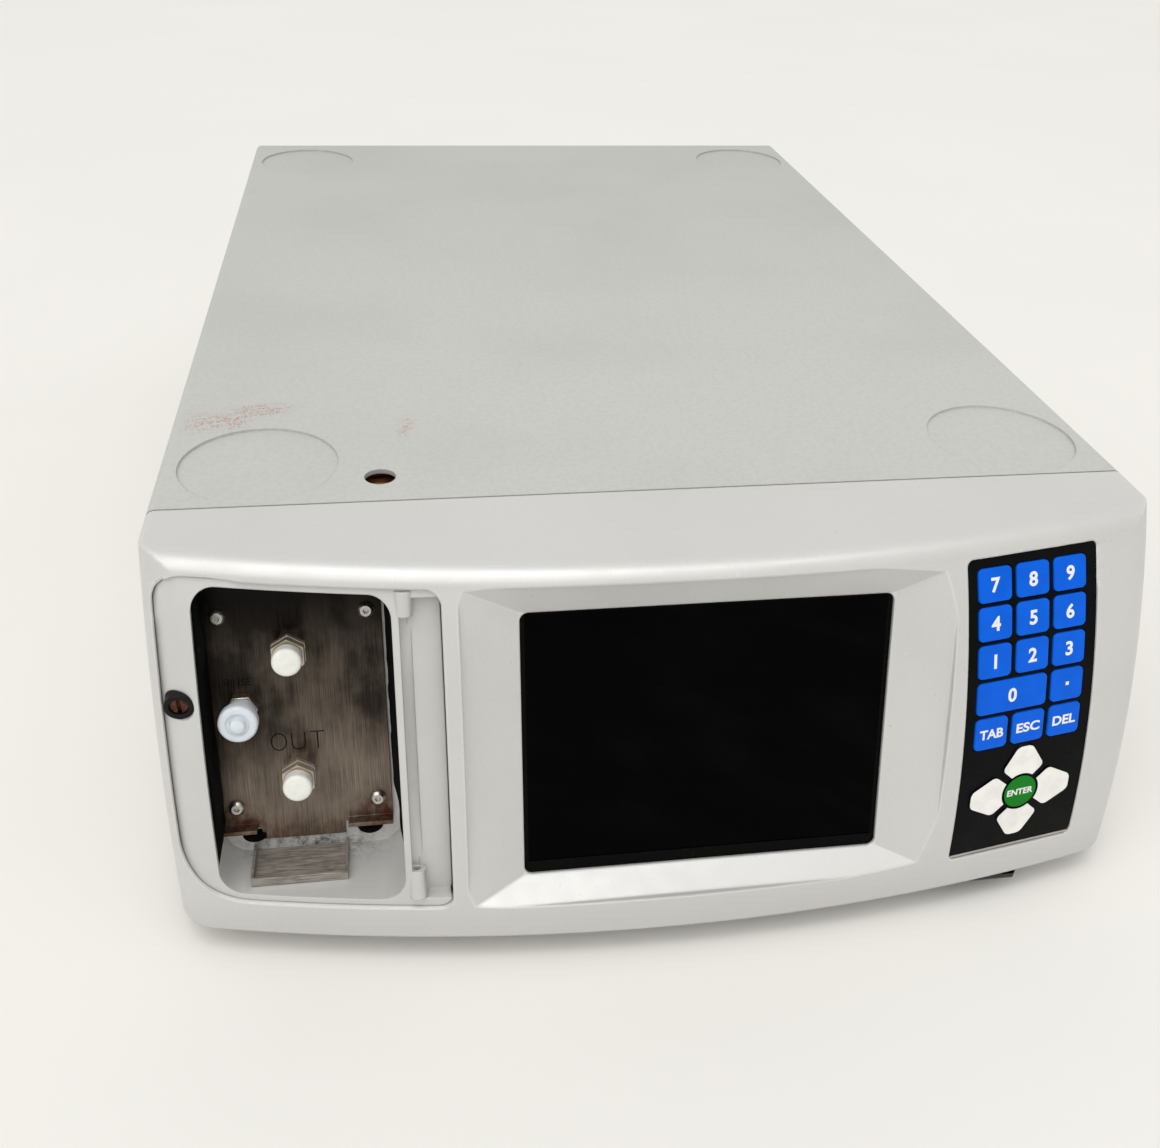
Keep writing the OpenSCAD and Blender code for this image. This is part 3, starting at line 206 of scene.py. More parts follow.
class Nodes:
    """The node tree of a material or a world, emptied and built up step by step."""

    def __init__(self, owner):
        owner.use_nodes = True
        self.tree = owner.node_tree
        self.tree.nodes.clear()

    def node(self, kind, **values):
        """Adds a node and sets its own values."""
        made = self.tree.nodes.new(kind)
        for key, value in values.items():
            setattr(made, key, value)
        return made

    def join(self, socket, value):
        """Feeds a socket from another one, or with a plain value."""
        if isinstance(value, bpy.types.NodeSocket):
            self.tree.links.new(value, socket)
        elif hasattr(value, "__len__") and len(value) == 3 and socket.type == "RGBA":
            socket.default_value = (*value, 1.0)
        else:
            socket.default_value = value

    def grade(self, value, low, high, to_low=0.0, to_high=1.0, curve="SMOOTHSTEP"):
        """A value taken from one range to another, smoothly unless said otherwise."""
        made = self.node("ShaderNodeMapRange", interpolation_type=curve)
        names = ("Value", "From Min", "From Max", "To Min", "To Max")
        for name, number in zip(names, (value, low, high, to_low, to_high)):
            self.join(made.inputs[name], number)
        return made.outputs["Result"]

    def calc(self, operation, a, b):
        """Two values joined by one sum, kept between 0 and 1."""
        made = self.node("ShaderNodeMath", operation=operation, use_clamp=True)
        self.join(made.inputs[0], a)
        self.join(made.inputs[1], b)
        return made.outputs[0]

    def part(self, value, axis):
        """One axis of a vector."""
        made = self.node("ShaderNodeSeparateXYZ")
        self.join(made.inputs[0], value)
        return made.outputs[axis]


class Finish(Nodes):
    """A material on Object coordinates; places are in metres, sizes and depths in millimetres."""

    def __init__(self, name, roughness=0.5, metallic=0.0, specular=0.5):
        self.material = bpy.data.materials.new(name)
        super().__init__(self.material)
        self.shader = self.node("ShaderNodeBsdfPrincipled")
        self.join(self.node("ShaderNodeOutputMaterial").inputs["Surface"], self.shader.outputs[0])
        self.put("Roughness", roughness)
        self.put("Metallic", metallic)
        self.put("Specular IOR Level", specular)
        self.place = self.node("ShaderNodeTexCoord").outputs["Object"]
        self.normal = None

    def put(self, socket, value):
        """Feeds one of the shader's sockets."""
        self.join(self.shader.inputs[socket], value)

    def local(self, size, at=(0, 0, 0), turn=(0, 0, 0)):
        """Coordinates that are zero at a point and one a size away from it."""
        moved = self.node("ShaderNodeMapping", vector_type="TEXTURE")
        moved.inputs["Location"].default_value = at
        moved.inputs["Rotation"].default_value = turn
        moved.inputs["Scale"].default_value = [across * MM for across in size]
        self.join(moved.inputs["Vector"], self.place)
        return moved.outputs[0]

    def cloud(self, size, detail=3.0, at=(0, 0, 0), turn=(0, 0, 0), rough=0.5):
        """Soft noise with patches of about this size."""
        size = size if isinstance(size, tuple) else (size,) * 3
        made = self.node("ShaderNodeTexNoise")
        made.inputs["Scale"].default_value = 1.0
        made.inputs["Detail"].default_value = detail
        made.inputs["Roughness"].default_value = rough
        self.join(made.inputs["Vector"], self.local(size, at, turn))
        return made.outputs["Fac"]

    def along(self, axis, low, high, to_low, to_high):
        """A value that changes smoothly between two places on an axis."""
        return self.grade(self.part(self.place, axis), low, high, to_low, to_high)

    def spot(self, at, size, turn=(0, 0, 0)):
        """One at a point, falling to zero a size away."""
        made = self.node("ShaderNodeVectorMath", operation="LENGTH")
        self.join(made.inputs[0], self.local(size, at, turn))
        return self.grade(made.outputs["Value"], 0.0, 1.0, 1.0, 0.0)

    def mixed(self, share, first, second):
        """A colour between two others."""
        made = self.node("ShaderNodeMix", data_type="RGBA")
        self.join(made.inputs["Factor"], share)
        self.join(made.inputs[6], first)
        self.join(made.inputs[7], second)
        return made.outputs[2]

    def shaded(self, colour, by):
        """A plain colour made darker or lighter, for a varied surface."""
        return tuple(c * by for c in colour)

    def rounded(self, radius):
        """Rounds every edge in its shading."""
        made = self.node("ShaderNodeBevel", samples=4)
        made.inputs["Radius"].default_value = radius * MM
        self.normal = made.outputs[0]
        self.put("Normal", self.normal)

    def edges(self, low, high, most):
        """A share that is highest where the rounded edges turn, used for a painted highlight along them."""
        flat = self.node("ShaderNodeNewGeometry").outputs["Normal"]
        made = self.node("ShaderNodeVectorMath", operation="DOT_PRODUCT")
        self.join(made.inputs[0], self.normal)
        self.join(made.inputs[1], flat)
        return self.grade(self.calc("SUBTRACT", 1.0, made.outputs["Value"]), low, high, 0.0, most)

    def relief(self, height, depth, strength=1.0):
        """Raises the surface by a height from 0 to 1 times a depth."""
        made = self.node("ShaderNodeBump")
        made.inputs["Strength"].default_value = strength
        made.inputs["Distance"].default_value = depth * MM
        self.join(made.inputs["Height"], height)
        if self.normal:
            self.join(made.inputs["Normal"], self.normal)
        self.normal = made.outputs[0]
        self.put("Normal", self.normal)


def satin(name, colour, roughness=0.45, metallic=0.0, specular=0.5, grain=0.3, dirt=0.12, edge=0.25):
    """Moulded plastic, rubber or paint: a slightly uneven colour, dust, a fine grain and soft edges."""
    made = Finish(name, roughness, metallic, specular)
    patches = made.cloud(18, 4.0)
    base = made.mixed(made.grade(patches, 0.35, 0.7), colour, made.shaded(colour, 1 - dirt))
    dust = tuple(0.5 * c + 0.5 * d for c, d in zip(colour, tone(120, 112, 100)))
    specks = made.grade(made.cloud(2.2, 5.0, at=(0.3, 0.1, 0.2)), 0.62, 0.78, 0.0, dirt)
    made.put("Base Color", made.mixed(specks, base, dust))
    made.put("Roughness", made.grade(made.cloud(9, 4.0), 0.3, 0.7, roughness - 0.05, roughness + 0.08))
    if edge:
        made.rounded(edge)
    made.relief(made.cloud(grain, 2.0), 0.02, 0.5)
    return made


def metal(name, colour, roughness=0.3, brush=(1, 1, 12), stain=0.2, edge=0.2):
    """Bare metal: fine lines along the longest side of brush, dull patches and soft edges."""
    made = Finish(name, roughness, 1.0)
    lines = made.cloud(tuple(0.35 * b for b in brush), 3.0)
    dull = made.cloud(12, 4.0, at=(0.1, 0.4, 0.2))
    lined = made.mixed(made.grade(lines, 0.3, 0.7), made.shaded(colour, 0.86), colour)
    stained = made.grade(dull, 0.45, 0.75, 0.0, stain)
    made.put("Base Color", made.mixed(stained, lined, made.shaded(colour, 0.55)))
    made.put("Roughness", made.grade(lines, 0.25, 0.75, roughness - 0.06, roughness + 0.12))
    if edge:
        made.rounded(edge)
    made.relief(lines, 0.012, 0.4)
    return made


def cover_paint():
    """Fine-textured silver-grey paint, darker towards the back as painted shade, with rusty scuffs and faint
    scratches.
    """
    c = settings().colours
    made = Finish("cover paint", 0.5, 0.25, 0.4)
    grain = made.cloud(0.55, 2.0)
    flake = made.cloud(1.7, 3.0, at=(0.2, 0.3, 0.1))
    cast = made.cloud(70, 4.0, at=(0.4, 0.1, 0.3))
    # Darker towards the back of the cover: painted shade.
    far_shade = made.along("Y", SEAM_Y, COVER_HIGH.y, 0.0, 0.75)
    base = made.mixed(made.calc("ADD", far_shade, made.grade(cast, 0.35, 0.75, -0.1, 0.3)), c.cover, c.cover_far_shade)
    base = made.mixed(made.grade(flake, 0.35, 0.7, 0.0, 0.2), base, made.shaded(c.cover, 0.68))
    base = made.mixed(made.grade(grain, 0.3, 0.7, 0.0, 0.16), base, made.shaded(c.cover, 1.25))
    specks = made.grade(made.cloud(0.9, 6.0, rough=0.8), 0.47, 0.62)
    streaks = made.grade(made.cloud((6, 2, 5), 4.0, turn=(0, 0, 0.3)), 0.3, 0.6)
    specks = made.calc("MULTIPLY", specks, streaks)
    rubbed = made.spot((-0.1185, SEAM_Y + 0.0615, TOP_Z), (17, 6.5, 6), (0, 0, 0.1))
    rubbed = made.calc("ADD", rubbed, made.spot((-0.1285, SEAM_Y + 0.0535, TOP_Z), (11, 9, 6)))
    edge = made.spot((-0.138, SEAM_Y + 0.054, TOP_Z), (7, 13, 6))
    rubbed = made.calc("ADD", made.calc("MULTIPLY", rubbed, 1.6), made.calc("MULTIPLY", edge, 0.8))
    base = made.mixed(made.calc("MULTIPLY", rubbed, specks), base, c.rust)
    smudge = made.spot((-0.0735, SEAM_Y + 0.046, TOP_Z), (4.5, 11, 6), (0, 0, -0.2))
    smudge = made.calc("MULTIPLY", made.calc("MULTIPLY", smudge, 0.8), specks)
    base = made.mixed(smudge, base, c.rust)
    scratch = made.grade(made.cloud((0.22, 16, 5), 3.0, turn=(0, 0, -0.7)), 0.745, 0.79, 0.0, 0.5)
    seam_dirt = made.along("Y", SEAM_Y + 0.1 * MM, SEAM_Y + 1.0 * MM, 0.6, 0.0)
    base = made.mixed(seam_dirt, base, c.grime_and_shade)
    made.put("Base Color", made.mixed(scratch, base, tone(226, 226, 224)))
    made.put("Roughness", made.grade(grain, 0.2, 0.8, 0.44, 0.62))
    made.rounded(0.35)
    made.relief(grain, 0.06, 0.55)
    return made


def bezel_paint():
    """Silver paint on plastic, with a soft sheen, light scratches on top, a painted highlight along the
    window's ridges and painted shade along the bottom.
    """
    c, s = settings().colours, settings().shape
    made = Finish("bezel paint", 0.36, 0.35, 0.5)
    flake = made.cloud(0.5, 2.0)
    cast = made.cloud(50, 4.0)
    base = made.mixed(made.grade(cast, 0.35, 0.75, 0.0, 0.35), c.bezel, made.shaded(c.bezel, 0.86))
    base = made.mixed(made.grade(flake, 0.3, 0.7, 0.0, 0.12), base, made.shaded(c.bezel, 0.7))
    scratch = made.grade(made.cloud((9, 0.3, 3), 3.0, turn=(0, 0, 0.55)), 0.735, 0.78)
    scratch = made.calc("MULTIPLY", scratch, made.along("Z", TOP_Z - 2 * MM, TOP_Z, 0.0, 0.6))
    base = made.mixed(scratch, base, tone(240, 240, 238))
    specks = made.grade(made.cloud(1.1, 4.0, at=(0.7, 0.2, 0.1)), 0.7, 0.78, 0.0, 0.35)
    base = made.mixed(specks, base, made.shaded(c.grime_and_shade, 1.5))
    # Darker along the bottom edge of the bezel: painted shade.
    low = made.along("Z", BOTTOM_Z, BOTTOM_Z + 14 * MM, 0.18, 0.0)
    base = made.mixed(low, base, made.shaded(c.bezel, 0.62))
    made.put("Roughness", made.grade(made.cloud(6, 4.0), 0.3, 0.7, 0.32, 0.42))
    made.rounded(s.ridge_blend / MM)
    # A lighter line where the rounded edges turn: painted highlight along the window's ridges.
    made.put("Base Color", made.mixed(made.edges(0.0015, 0.02, 0.5), base, tone(240, 240, 238)))
    made.relief(flake, 0.03, 0.3)
    return made


def liner_plastic():
    """Cooler silver-grey plastic, with grime and painted shade round the foot of the port plate."""
    c = settings().colours
    made = Finish("bay liner", 0.4, 0.3, 0.5)
    flake = made.cloud(0.5, 2.0)
    cast = made.cloud(20, 4.0)
    base = made.mixed(made.grade(cast, 0.35, 0.75, 0.0, 0.35), c.liner, made.shaded(c.liner, 0.84))
    plate_low, plate_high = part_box("port_plate")
    middle = (plate_low.x + plate_high.x) / 2
    # A dark mottled patch round the plate's foot: grime with painted shade.
    foot = made.spot((middle, plate_low.y + 4 * MM, plate_low.z - 3 * MM), (30, 15, 11))
    grime_and_shade_mottle = made.grade(made.cloud(2.4, 6.0, rough=0.7), 0.4, 0.68)
    base = made.mixed(made.calc("MULTIPLY", foot, grime_and_shade_mottle), base, c.grime_and_shade)
    specks = made.grade(made.cloud(0.9, 4.0, at=(0.7, 0.2, 0.1)), 0.68, 0.76, 0.0, 0.7)
    base = made.mixed(made.calc("MULTIPLY", specks, foot), base, tone(25, 20, 15))
    made.put("Base Color", base)
    made.put("Roughness", made.grade(grime_and_shade_mottle, 0.0, 1.0, 0.36, 0.5))
    made.rounded(0.5)
    made.relief(flake, 0.03, 0.3)
    return made


def plate_steel():
    """Vertically brushed steel, with painted shade and painted dark reflection high up, and brown stains low
    down.
    """
    s = settings()
    c = s.colours
    made = Finish("port plate steel", 0.34, 0.85, 0.4)
    low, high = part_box("port_plate")
    turn = (-s.shape.lean, 0, 0)
    brush = made.cloud((0.16, 5, 14), 4.0, turn=turn, rough=0.65)
    patches = made.cloud((9, 9, 15), 3.0, turn=turn)
    # Darker higher up the plate: painted shade and painted dark reflection.
    rise = made.along("Z", low.z + 8 * MM, high.z - 30 * MM, 0.0, 0.9)
    height = made.calc("ADD", rise, made.grade(patches, 0.3, 0.7, -0.3, 0.3))
    base = made.mixed(height, c.plate, c.plate_shade_and_reflection)
    lines = made.calc("MULTIPLY", made.grade(brush, 0.35, 0.68), made.grade(height, 0.0, 1.0, 0.4, 0.07))
    base = made.mixed(lines, base, tone(178, 168, 156))
    # A near-black band along the plate's top: painted shade and painted reflection.
    base = made.mixed(made.along("Z", high.z - 28 * MM, high.z - 3 * MM, 0.0, 0.9), base, tone(12, 10, 8))
    stain = made.grade(made.cloud((3, 3, 5), 6.0, at=(0.2, 0.1, 0.6), rough=0.7), 0.38, 0.62)
    for side in (low.x + 3 * MM, high.x - 3 * MM):
        corner = made.spot((side, low.y + 5 * MM, low.z + 6 * MM), (14, 16, 12))
        base = made.mixed(made.calc("MULTIPLY", corner, stain), base, tone(84, 44, 18))
    foot = made.along("Z", low.z + 2 * MM, low.z + 9 * MM, 0.55, 0.0)
    made.put("Base Color", made.mixed(made.calc("MULTIPLY", foot, stain), base, tone(96, 56, 26)))
    made.put("Roughness", made.grade(brush, 0.25, 0.75, 0.3, 0.48))
    made.rounded(0.4)
    made.relief(brush, 0.03, 0.4)
    return made


def tray_steel():
    """Dull steel brushed from side to side."""
    made = Finish("tray steel", 0.4, 0.35, 0.5)
    brush = made.cloud((7, 0.3, 0.3), 4.0, rough=0.65)
    base = made.mixed(made.grade(brush, 0.32, 0.68), tone(112, 105, 98), tone(172, 166, 158))
    dark = made.grade(made.cloud(4, 4.0), 0.45, 0.75, 0.0, 0.35)
    made.put("Base Color", made.mixed(dark, base, tone(72, 62, 54)))
    made.rounded(0.3)
    made.relief(brush, 0.02, 0.4)
    return made


def display_glass():
    """Near-black glossy glass with faint smears."""
    made = Finish("display glass", 0.08, 0.0, 0.025)
    smear = made.cloud((30, 10, 12), 4.0, turn=(0, 0.5, 0))
    made.put("Base Color", made.mixed(made.grade(smear, 0.4, 0.75, 0.0, 0.4), tone(1, 1, 1), tone(10, 9, 9)))
    made.put("Roughness", made.grade(smear, 0.35, 0.75, 0.05, 0.14))
    made.relief(made.cloud(30, 2.0), 0.004, 0.2)
    return made


def overlay_black():
    """Black glossy film with a faint orange-peel texture."""
    made = Finish("keypad overlay", 0.3, 0.0, 0.06)
    peel = made.cloud(1.2, 2.0)
    dulled = made.grade(made.cloud(12, 4.0), 0.4, 0.7)
    made.put("Base Color", made.mixed(dulled, tone(3, 4, 5), tone(9, 10, 11)))
    made.put("Roughness", made.grade(peel, 0.3, 0.7, 0.26, 0.36))
    made.relief(peel, 0.01, 0.4)
    return made


def key_film(name, colour):
    """Printed key film: an even colour with a satin gloss and light worn specks."""
    made = Finish(name, 0.38, 0.0, 0.1)
    worn = made.cloud(0.9, 3.0)
    base = made.mixed(made.grade(made.cloud(6, 3.0), 0.35, 0.7), colour, made.shaded(colour, 0.9))
    pale = tuple(min(1, c * 1.3 + 0.02) for c in colour)
    made.put("Base Color", made.mixed(made.grade(worn, 0.66, 0.8, 0.0, 0.25), base, pale))
    made.put("Roughness", made.grade(worn, 0.3, 0.7, 0.34, 0.46))
    made.rounded(0.25)
    made.relief(made.cloud(0.35, 2.0), 0.008, 0.4)
    return made


def cap_plastic(name, colour, clear):
    """Soft plastic that lets some light into its skin."""
    made = Finish(name, 0.36, 0.0, 0.5)
    haze = made.cloud(2.2, 3.0)
    made.put("Base Color", made.mixed(made.grade(haze, 0.35, 0.7), colour, made.shaded(colour, 0.93)))
    made.put("Roughness", made.grade(haze, 0.3, 0.7, 0.3, 0.42))
    made.put("Subsurface Weight", clear)
    made.put("Subsurface Radius", (1.0, 1.0, 1.0))
    made.put("Subsurface Scale", 1.6 * MM)
    made.relief(made.cloud(0.5, 2.0), 0.012, 0.4)
    return made


def rusty_screw():
    """Reddish-brown corroded metal."""
    made = Finish("catch screw", 0.55, 0.35, 0.4)
    crust = made.cloud(0.7, 6.0, rough=0.7)
    made.put("Base Color", made.mixed(made.grade(crust, 0.35, 0.65), tone(44, 20, 14), tone(112, 62, 42)))
    made.put("Roughness", made.grade(crust, 0.3, 0.7, 0.45, 0.7))
    made.rounded(0.2)
    made.relief(crust, 0.08, 0.7)
    return made


def clear_glass():
    """Thick clear glass with fine dust."""
    made = Finish("barrel glass", 0.06, 0.0, 0.5)
    dust = made.grade(made.cloud(1.5, 5.0), 0.6, 0.8, 0.0, 1.0)
    made.put("Base Color", made.mixed(dust, tone(232, 240, 240), tone(205, 208, 204)))
    made.put("Transmission Weight", 0.85)
    made.put("Roughness", made.grade(dust, 0.0, 1.0, 0.05, 0.3))
    return made


def circuit_board():
    """Green lacquered board with pale tracks."""
    made = Finish("circuit board", 0.35, 0.0, 0.5)
    tracks = made.node("ShaderNodeTexBrick")
    tracks.inputs["Scale"].default_value = 1.0
    tracks.inputs["Mortar Size"].default_value = 0.06
    tracks.inputs["Color1"].default_value = (*tone(22, 84, 44), 1)
    tracks.inputs["Color2"].default_value = (*tone(28, 96, 52), 1)
    tracks.inputs["Mortar"].default_value = (*tone(60, 130, 84), 1)
    made.join(tracks.inputs["Vector"], made.local((6, 6, 6)))
    made.put("Base Color", tracks.outputs["Color"])
    made.put("Roughness", made.grade(made.cloud(4, 3.0), 0.3, 0.7, 0.3, 0.45))
    made.relief(made.cloud(1.0, 2.0), 0.02, 0.3)
    return made


FINISHES = {
    "cover_paint": cover_paint,
    "case_metal": lambda: satin("case metal", tone(205, 205, 203), 0.5, 0.2, grain=0.5, dirt=0.05),
    "zinc_sheet": lambda: metal("zinc sheet", tone(190, 172, 138), 0.42, (1, 1, 1), 0.5),
    "bezel_paint": bezel_paint,
    "liner_plastic": liner_plastic,
    "rubber_feet": lambda: satin("rubber feet", tone(34, 33, 32), 0.75, specular=0.3, grain=0.4, dirt=0.3),
    "screw_steel": lambda: metal("screw steel", tone(196, 192, 186), 0.28, (1, 1, 1), 0.35, 0.12),
    "display_glass": display_glass,
    "display_body": lambda: metal("display back", tone(170, 172, 170), 0.4, (10, 1, 1)),
    "overlay_black": overlay_black,
    "switch_mat": lambda: satin("switch mat", tone(70, 70, 74), 0.7, specular=0.3),
    "key_blue": lambda: key_film("key blue", settings().colours.blue),
    "key_green": lambda: key_film("key green", settings().colours.green),
    "key_white": lambda: key_film("key white", settings().colours.pad),
    "plate_steel": plate_steel,
    "tray_steel": tray_steel,
    "fitting_body": lambda: metal("fitting metal", tone(214, 204, 186), 0.24, (1, 1, 1), 0.4, 0.15),
    "aged_brass": lambda: metal("aged brass", tone(170, 118, 74), 0.4, (8, 1, 1), 0.5),
    "nut_steel": lambda: satin("nut steel", tone(196, 184, 164), 0.25, 0.6, 0.6, dirt=0.3, edge=0.2),
    "cap_white": lambda: cap_plastic("white caps", tone(240, 240, 232), 0.25),
    "cap_clear": lambda: cap_plastic("cloudy cap", tone(220, 227, 233), 0.45),
    "catch_black": lambda: satin("catch bush", tone(8, 8, 8), 0.45, specular=0.2, grain=0.2),
    "catch_screw": rusty_screw,
    "switch_black": lambda: satin("switch black", tone(20, 20, 21), 0.45),
    "socket_black": lambda: satin("socket black", tone(24, 24, 25), 0.5, dirt=0.25),
    "fan_black": lambda: satin("fan black", tone(26, 26, 27), 0.55, dirt=0.3),
    "signal_metal": lambda: metal("socket shells", tone(186, 186, 182), 0.3, (1, 1, 1)),
    "supply_metal": lambda: metal("supply case", tone(200, 201, 202), 0.42, (10, 1, 1)),
    "board_green": circuit_board,
    "frame_alloy": lambda: metal("milled alloy", tone(196, 198, 200), 0.38, (1, 8, 1)),
    "rod_steel": lambda: metal("ground steel", tone(205, 205, 206), 0.16, (1, 6, 1), 0.1),
    "plunger_ceramic": lambda: satin("plunger ceramic", tone(232, 232, 228), 0.14, grain=0.2, dirt=0.05),
    "barrel_glass": clear_glass,
    "motor_black": lambda: satin("motor paint", tone(30, 30, 32), 0.45, 0.2),
    "belt_rubber": lambda: satin("belt rubber", tone(28, 28, 28), 0.7, specular=0.3),
    "seal_foam": lambda: satin("seal foam", tone(6, 6, 6), 0.85, specular=0.08, grain=0.8, edge=0.3),
    "engraving": lambda: satin("engraving paint", tone(4, 3, 3), 0.6, specular=0.1, edge=0),
    "print_white": lambda: satin(
        "print white", settings().colours.legend, 0.42, grain=0.2, dirt=0.04, edge=0
    ),
    "contact_gold": lambda: metal("contact metal", tone(214, 186, 120), 0.25, (1, 1, 1)),
    "socket_core": lambda: satin("socket core", tone(28, 60, 110), 0.5),
    "gasket": lambda: satin("display gasket", tone(3, 3, 3), 0.3, specular=0.06),
}
ready = {}


def finish(slot):
    """The material of a slot, made once."""
    if slot not in ready:
        ready[slot] = FINISHES[slot]().material
    return ready[slot]


def slot_of(node):
    """The slot that the record gives a node."""
    found = [part["material_slot"] for part in frame["record"]["subparts"] if part["node"] == node]
    return found[0]


def body_of(node):
    """The body that carries a node."""
    return next(name for name, empty in frame["bodies"].items() if frame["nodes"][node].parent == empty)


# ---------- mesh helpers ----------


def merged(node):
    """A copy of a node's mesh with its loose triangles joined and flat areas made whole."""
    bm = bmesh.new()
    bm.from_mesh(frame["nodes"][node].data)
    bmesh.ops.remove_doubles(bm, verts=bm.verts, dist=WELD)
    bmesh.ops.dissolve_degenerate(bm, edges=bm.edges, dist=0.0005 * MM)
    flatten(bm)
    return bm


def flatten(bm):
    """Joins triangles that lie in one plane."""
    bmesh.ops.dissolve_limit(bm, angle_limit=math.radians(0.15), verts=bm.verts, edges=bm.edges)


def cut(bm, at, normal):
    """Cuts a mesh along a plane, and keeps both sides."""
    whole = bm.verts[:] + bm.edges[:] + bm.faces[:]
    bmesh.ops.bisect_plane(bm, geom=whole, dist=WELD, plane_co=at, plane_no=normal)


def bevelled(bm, geom, offset, segments=2, affect="EDGES"):
    """Rounds edges or corners of a mesh."""
    bmesh.ops.bevel(
        bm, geom=geom, offset=offset, offset_type="OFFSET", segments=segments, profile=0.5, affect=affect,
        material=-1,
    )


def edges_of(made):
    """The edges round the points that an operator made."""
    return list({e for v in made["verts"] for e in v.link_edges})


def middle_x(node):
    """The middle of a node from left to right."""
    return sum(corner.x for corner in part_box(node)) / 2


def led_normals(mesh, sharp, face):
    """Normals for every face corner.

    They are the true surface's where it is known, else those of the largest faces round the corner.
    """
    faces = [(polygon.normal.copy(), (polygon.area / MM**2) ** 2) for polygon in mesh.polygons]
    places = [v.co.copy() for v in mesh.vertices]
    limits = [math.cos(math.radians(sharp(p))) for p in places]
    known = [face.nearest(p) if face else None for p in places]
    around = [[] for _ in places]
    for polygon in mesh.polygons:
        for index in polygon.vertices:
            around[index].append(polygon.index)
    normals = []
    for polygon in mesh.polygons:
        own = faces[polygon.index][0]
        for index in polygon.vertices:
            if face and known[index][0] < 0.05 * MM and own.dot(known[index][2]) > 0.985:
                normals.append(tuple(known[index][2]))
                continue
            led = Vector()
            for other in around[index]:
                if faces[other][0].dot(own) > limits[index]:
                    led += faces[other][0] * faces[other][1]
            normals.append(tuple(led.normalized()))
    return normals


def settle(bm, name, body, slot, node=None, sharp=32, rounding=0.0, segments=2, face=None):
    """Turns a finished bmesh into a piece that rides on its body.

    sharp is the angle past which an edge stays sharp, or a function that gives it for a place.
    """
    limit = sharp if callable(sharp) else lambda place: sharp
    for edge in bm.edges:
        middle = (edge.verts[0].co + edge.verts[1].co) / 2
        edge.smooth = edge.calc_face_angle(0) < math.radians(limit(middle))
    for polygon in bm.faces:
        polygon.smooth = True
    mesh = bpy.data.meshes.new(name)
    bm.to_mesh(mesh)
    bm.free()
    if not rounding:
        mesh.normals_split_custom_set(led_normals(mesh, limit, face))
    mesh.materials.append(finish(slot))
    piece = bpy.data.objects.new(name, mesh)
    bpy.context.scene.collection.objects.link(piece)
    if rounding:
        bevel = piece.modifiers.new("soft edges", "BEVEL")
        bevel.width = rounding
        bevel.segments = segments
        bevel.limit_method = "ANGLE"
        bevel.angle_limit = math.radians(35)
        bevel.harden_normals = False
    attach(piece, body)
    if node:
        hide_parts(node)
    return piece


def soft_copy(node, rounding=0.25 * MM, segments=2, sharp=32):
    """A node's own shape with smooth shading and rounded edges."""
    return settle(merged(node), node + "_skin", body_of(node), slot_of(node), node, sharp, rounding, segments)


def paint_nodes(names):
    """Gives CAD nodes their finishes."""
    for name in names:
        node = frame["nodes"][name]
        node.data.materials.clear()
        node.data.materials.append(finish(slot_of(name)))


class Face:
    """The bezel's curved surfaces, for putting points exactly on them."""

    def __init__(self, inset=0.0):
        s = settings().shape
        self.inset = inset
        self.side, self.plan = s.side_radius, s.plan_radius
        self.axis_z = TOP_Z - s.axis_drop
        low = max(BOTTOM_Z - self.axis_z, 0.0)
        self.axis_y = BEZEL_LOW.y + math.sqrt(self.side**2 - low**2)
        self.corner = s.corner_radius
        bulge = math.sqrt((self.plan - self.corner) ** 2 - (HALF_W - self.corner) ** 2)
        self.corner_r = self.side - self.plan + bulge
        self.brow = s.brow_radius
        rise = s.axis_drop - self.brow
        reach = math.sqrt((self.side - self.brow) ** 2 - rise**2)
        self.brow_ring = self.plan * reach / (self.side - self.brow) - self.brow
        self.brow_y = self.axis_y - reach + self.brow_ring + s.brow_bite

    def radius(self, x):
        """Distance of the face from the side radius's centre line."""
        return self.side - self.plan + math.sqrt(self.plan**2 - x * x) - self.inset

    def y_at(self, x, z):
        """Where the face is at a place seen from the front."""
        return self.axis_y - math.sqrt(self.radius(x) ** 2 - (z - self.axis_z) ** 2)

    def nearest(self, p):
        """The nearest surface's (miss, point, normal, whether it is the front) at p."""
        out = Vector((0, p.y - self.axis_y, p.z - self.axis_z))
        r = out.length
        out.normalize()
        found = []
        if abs(p.x) < self.plan:
            flat = Vector((p.x, 0, 0)) / self.plan + out * math.sqrt(1 - (p.x / self.plan) ** 2)
            miss = (self.radius(p.x) - r) * flat.dot(out)
            found.append((abs(miss), p + flat * miss, flat, True))
        side = math.copysign(1, p.x)
        arm = Vector((side * (abs(p.x) - (HALF_W - self.corner)), 0, 0)) + out * (r - self.corner_r)
        if arm.length > 1e-6 and arm.x * side > 0 and r > self.corner_r:
            miss = self.corner - self.inset - arm.length
            found.append((abs(miss), p + arm.normalized() * miss, arm.normalized(), False))
        ring = Vector((p.x, p.y - self.brow_y, 0))
        arm = ring.normalized() * (ring.length - self.brow_ring) + Vector((0, 0, p.z - (TOP_Z - self.brow)))
        if arm.z > -1e-4 and ring.length > self.brow_ring - 1e-4 and p.y < self.brow_y:
            miss = self.brow - self.inset - arm.length
            found.append((abs(miss), p + arm.normalized() * miss, arm.normalized(), False))
        return min(found, key=lambda f: f[0])

    def true_up(self, bm):
        """Puts the points of the curved surfaces exactly on them, and those at their rims straight ahead."""
        moves = []
        for v in bm.verts:
            miss, point, normal, front = self.nearest(v.co)
            if miss > 0.16 * MM or not v.link_faces:
                continue
            level = [f.normal.dot(normal) > 0.93 for f in v.link_faces]
            if all(level):
                moves.append((v, point))
            elif front and any(level):
                moves.append((v, Vector((v.co.x, self.y_at(v.co.x, v.co.z), v.co.z))))
        for v, point in moves:
            v.co = point


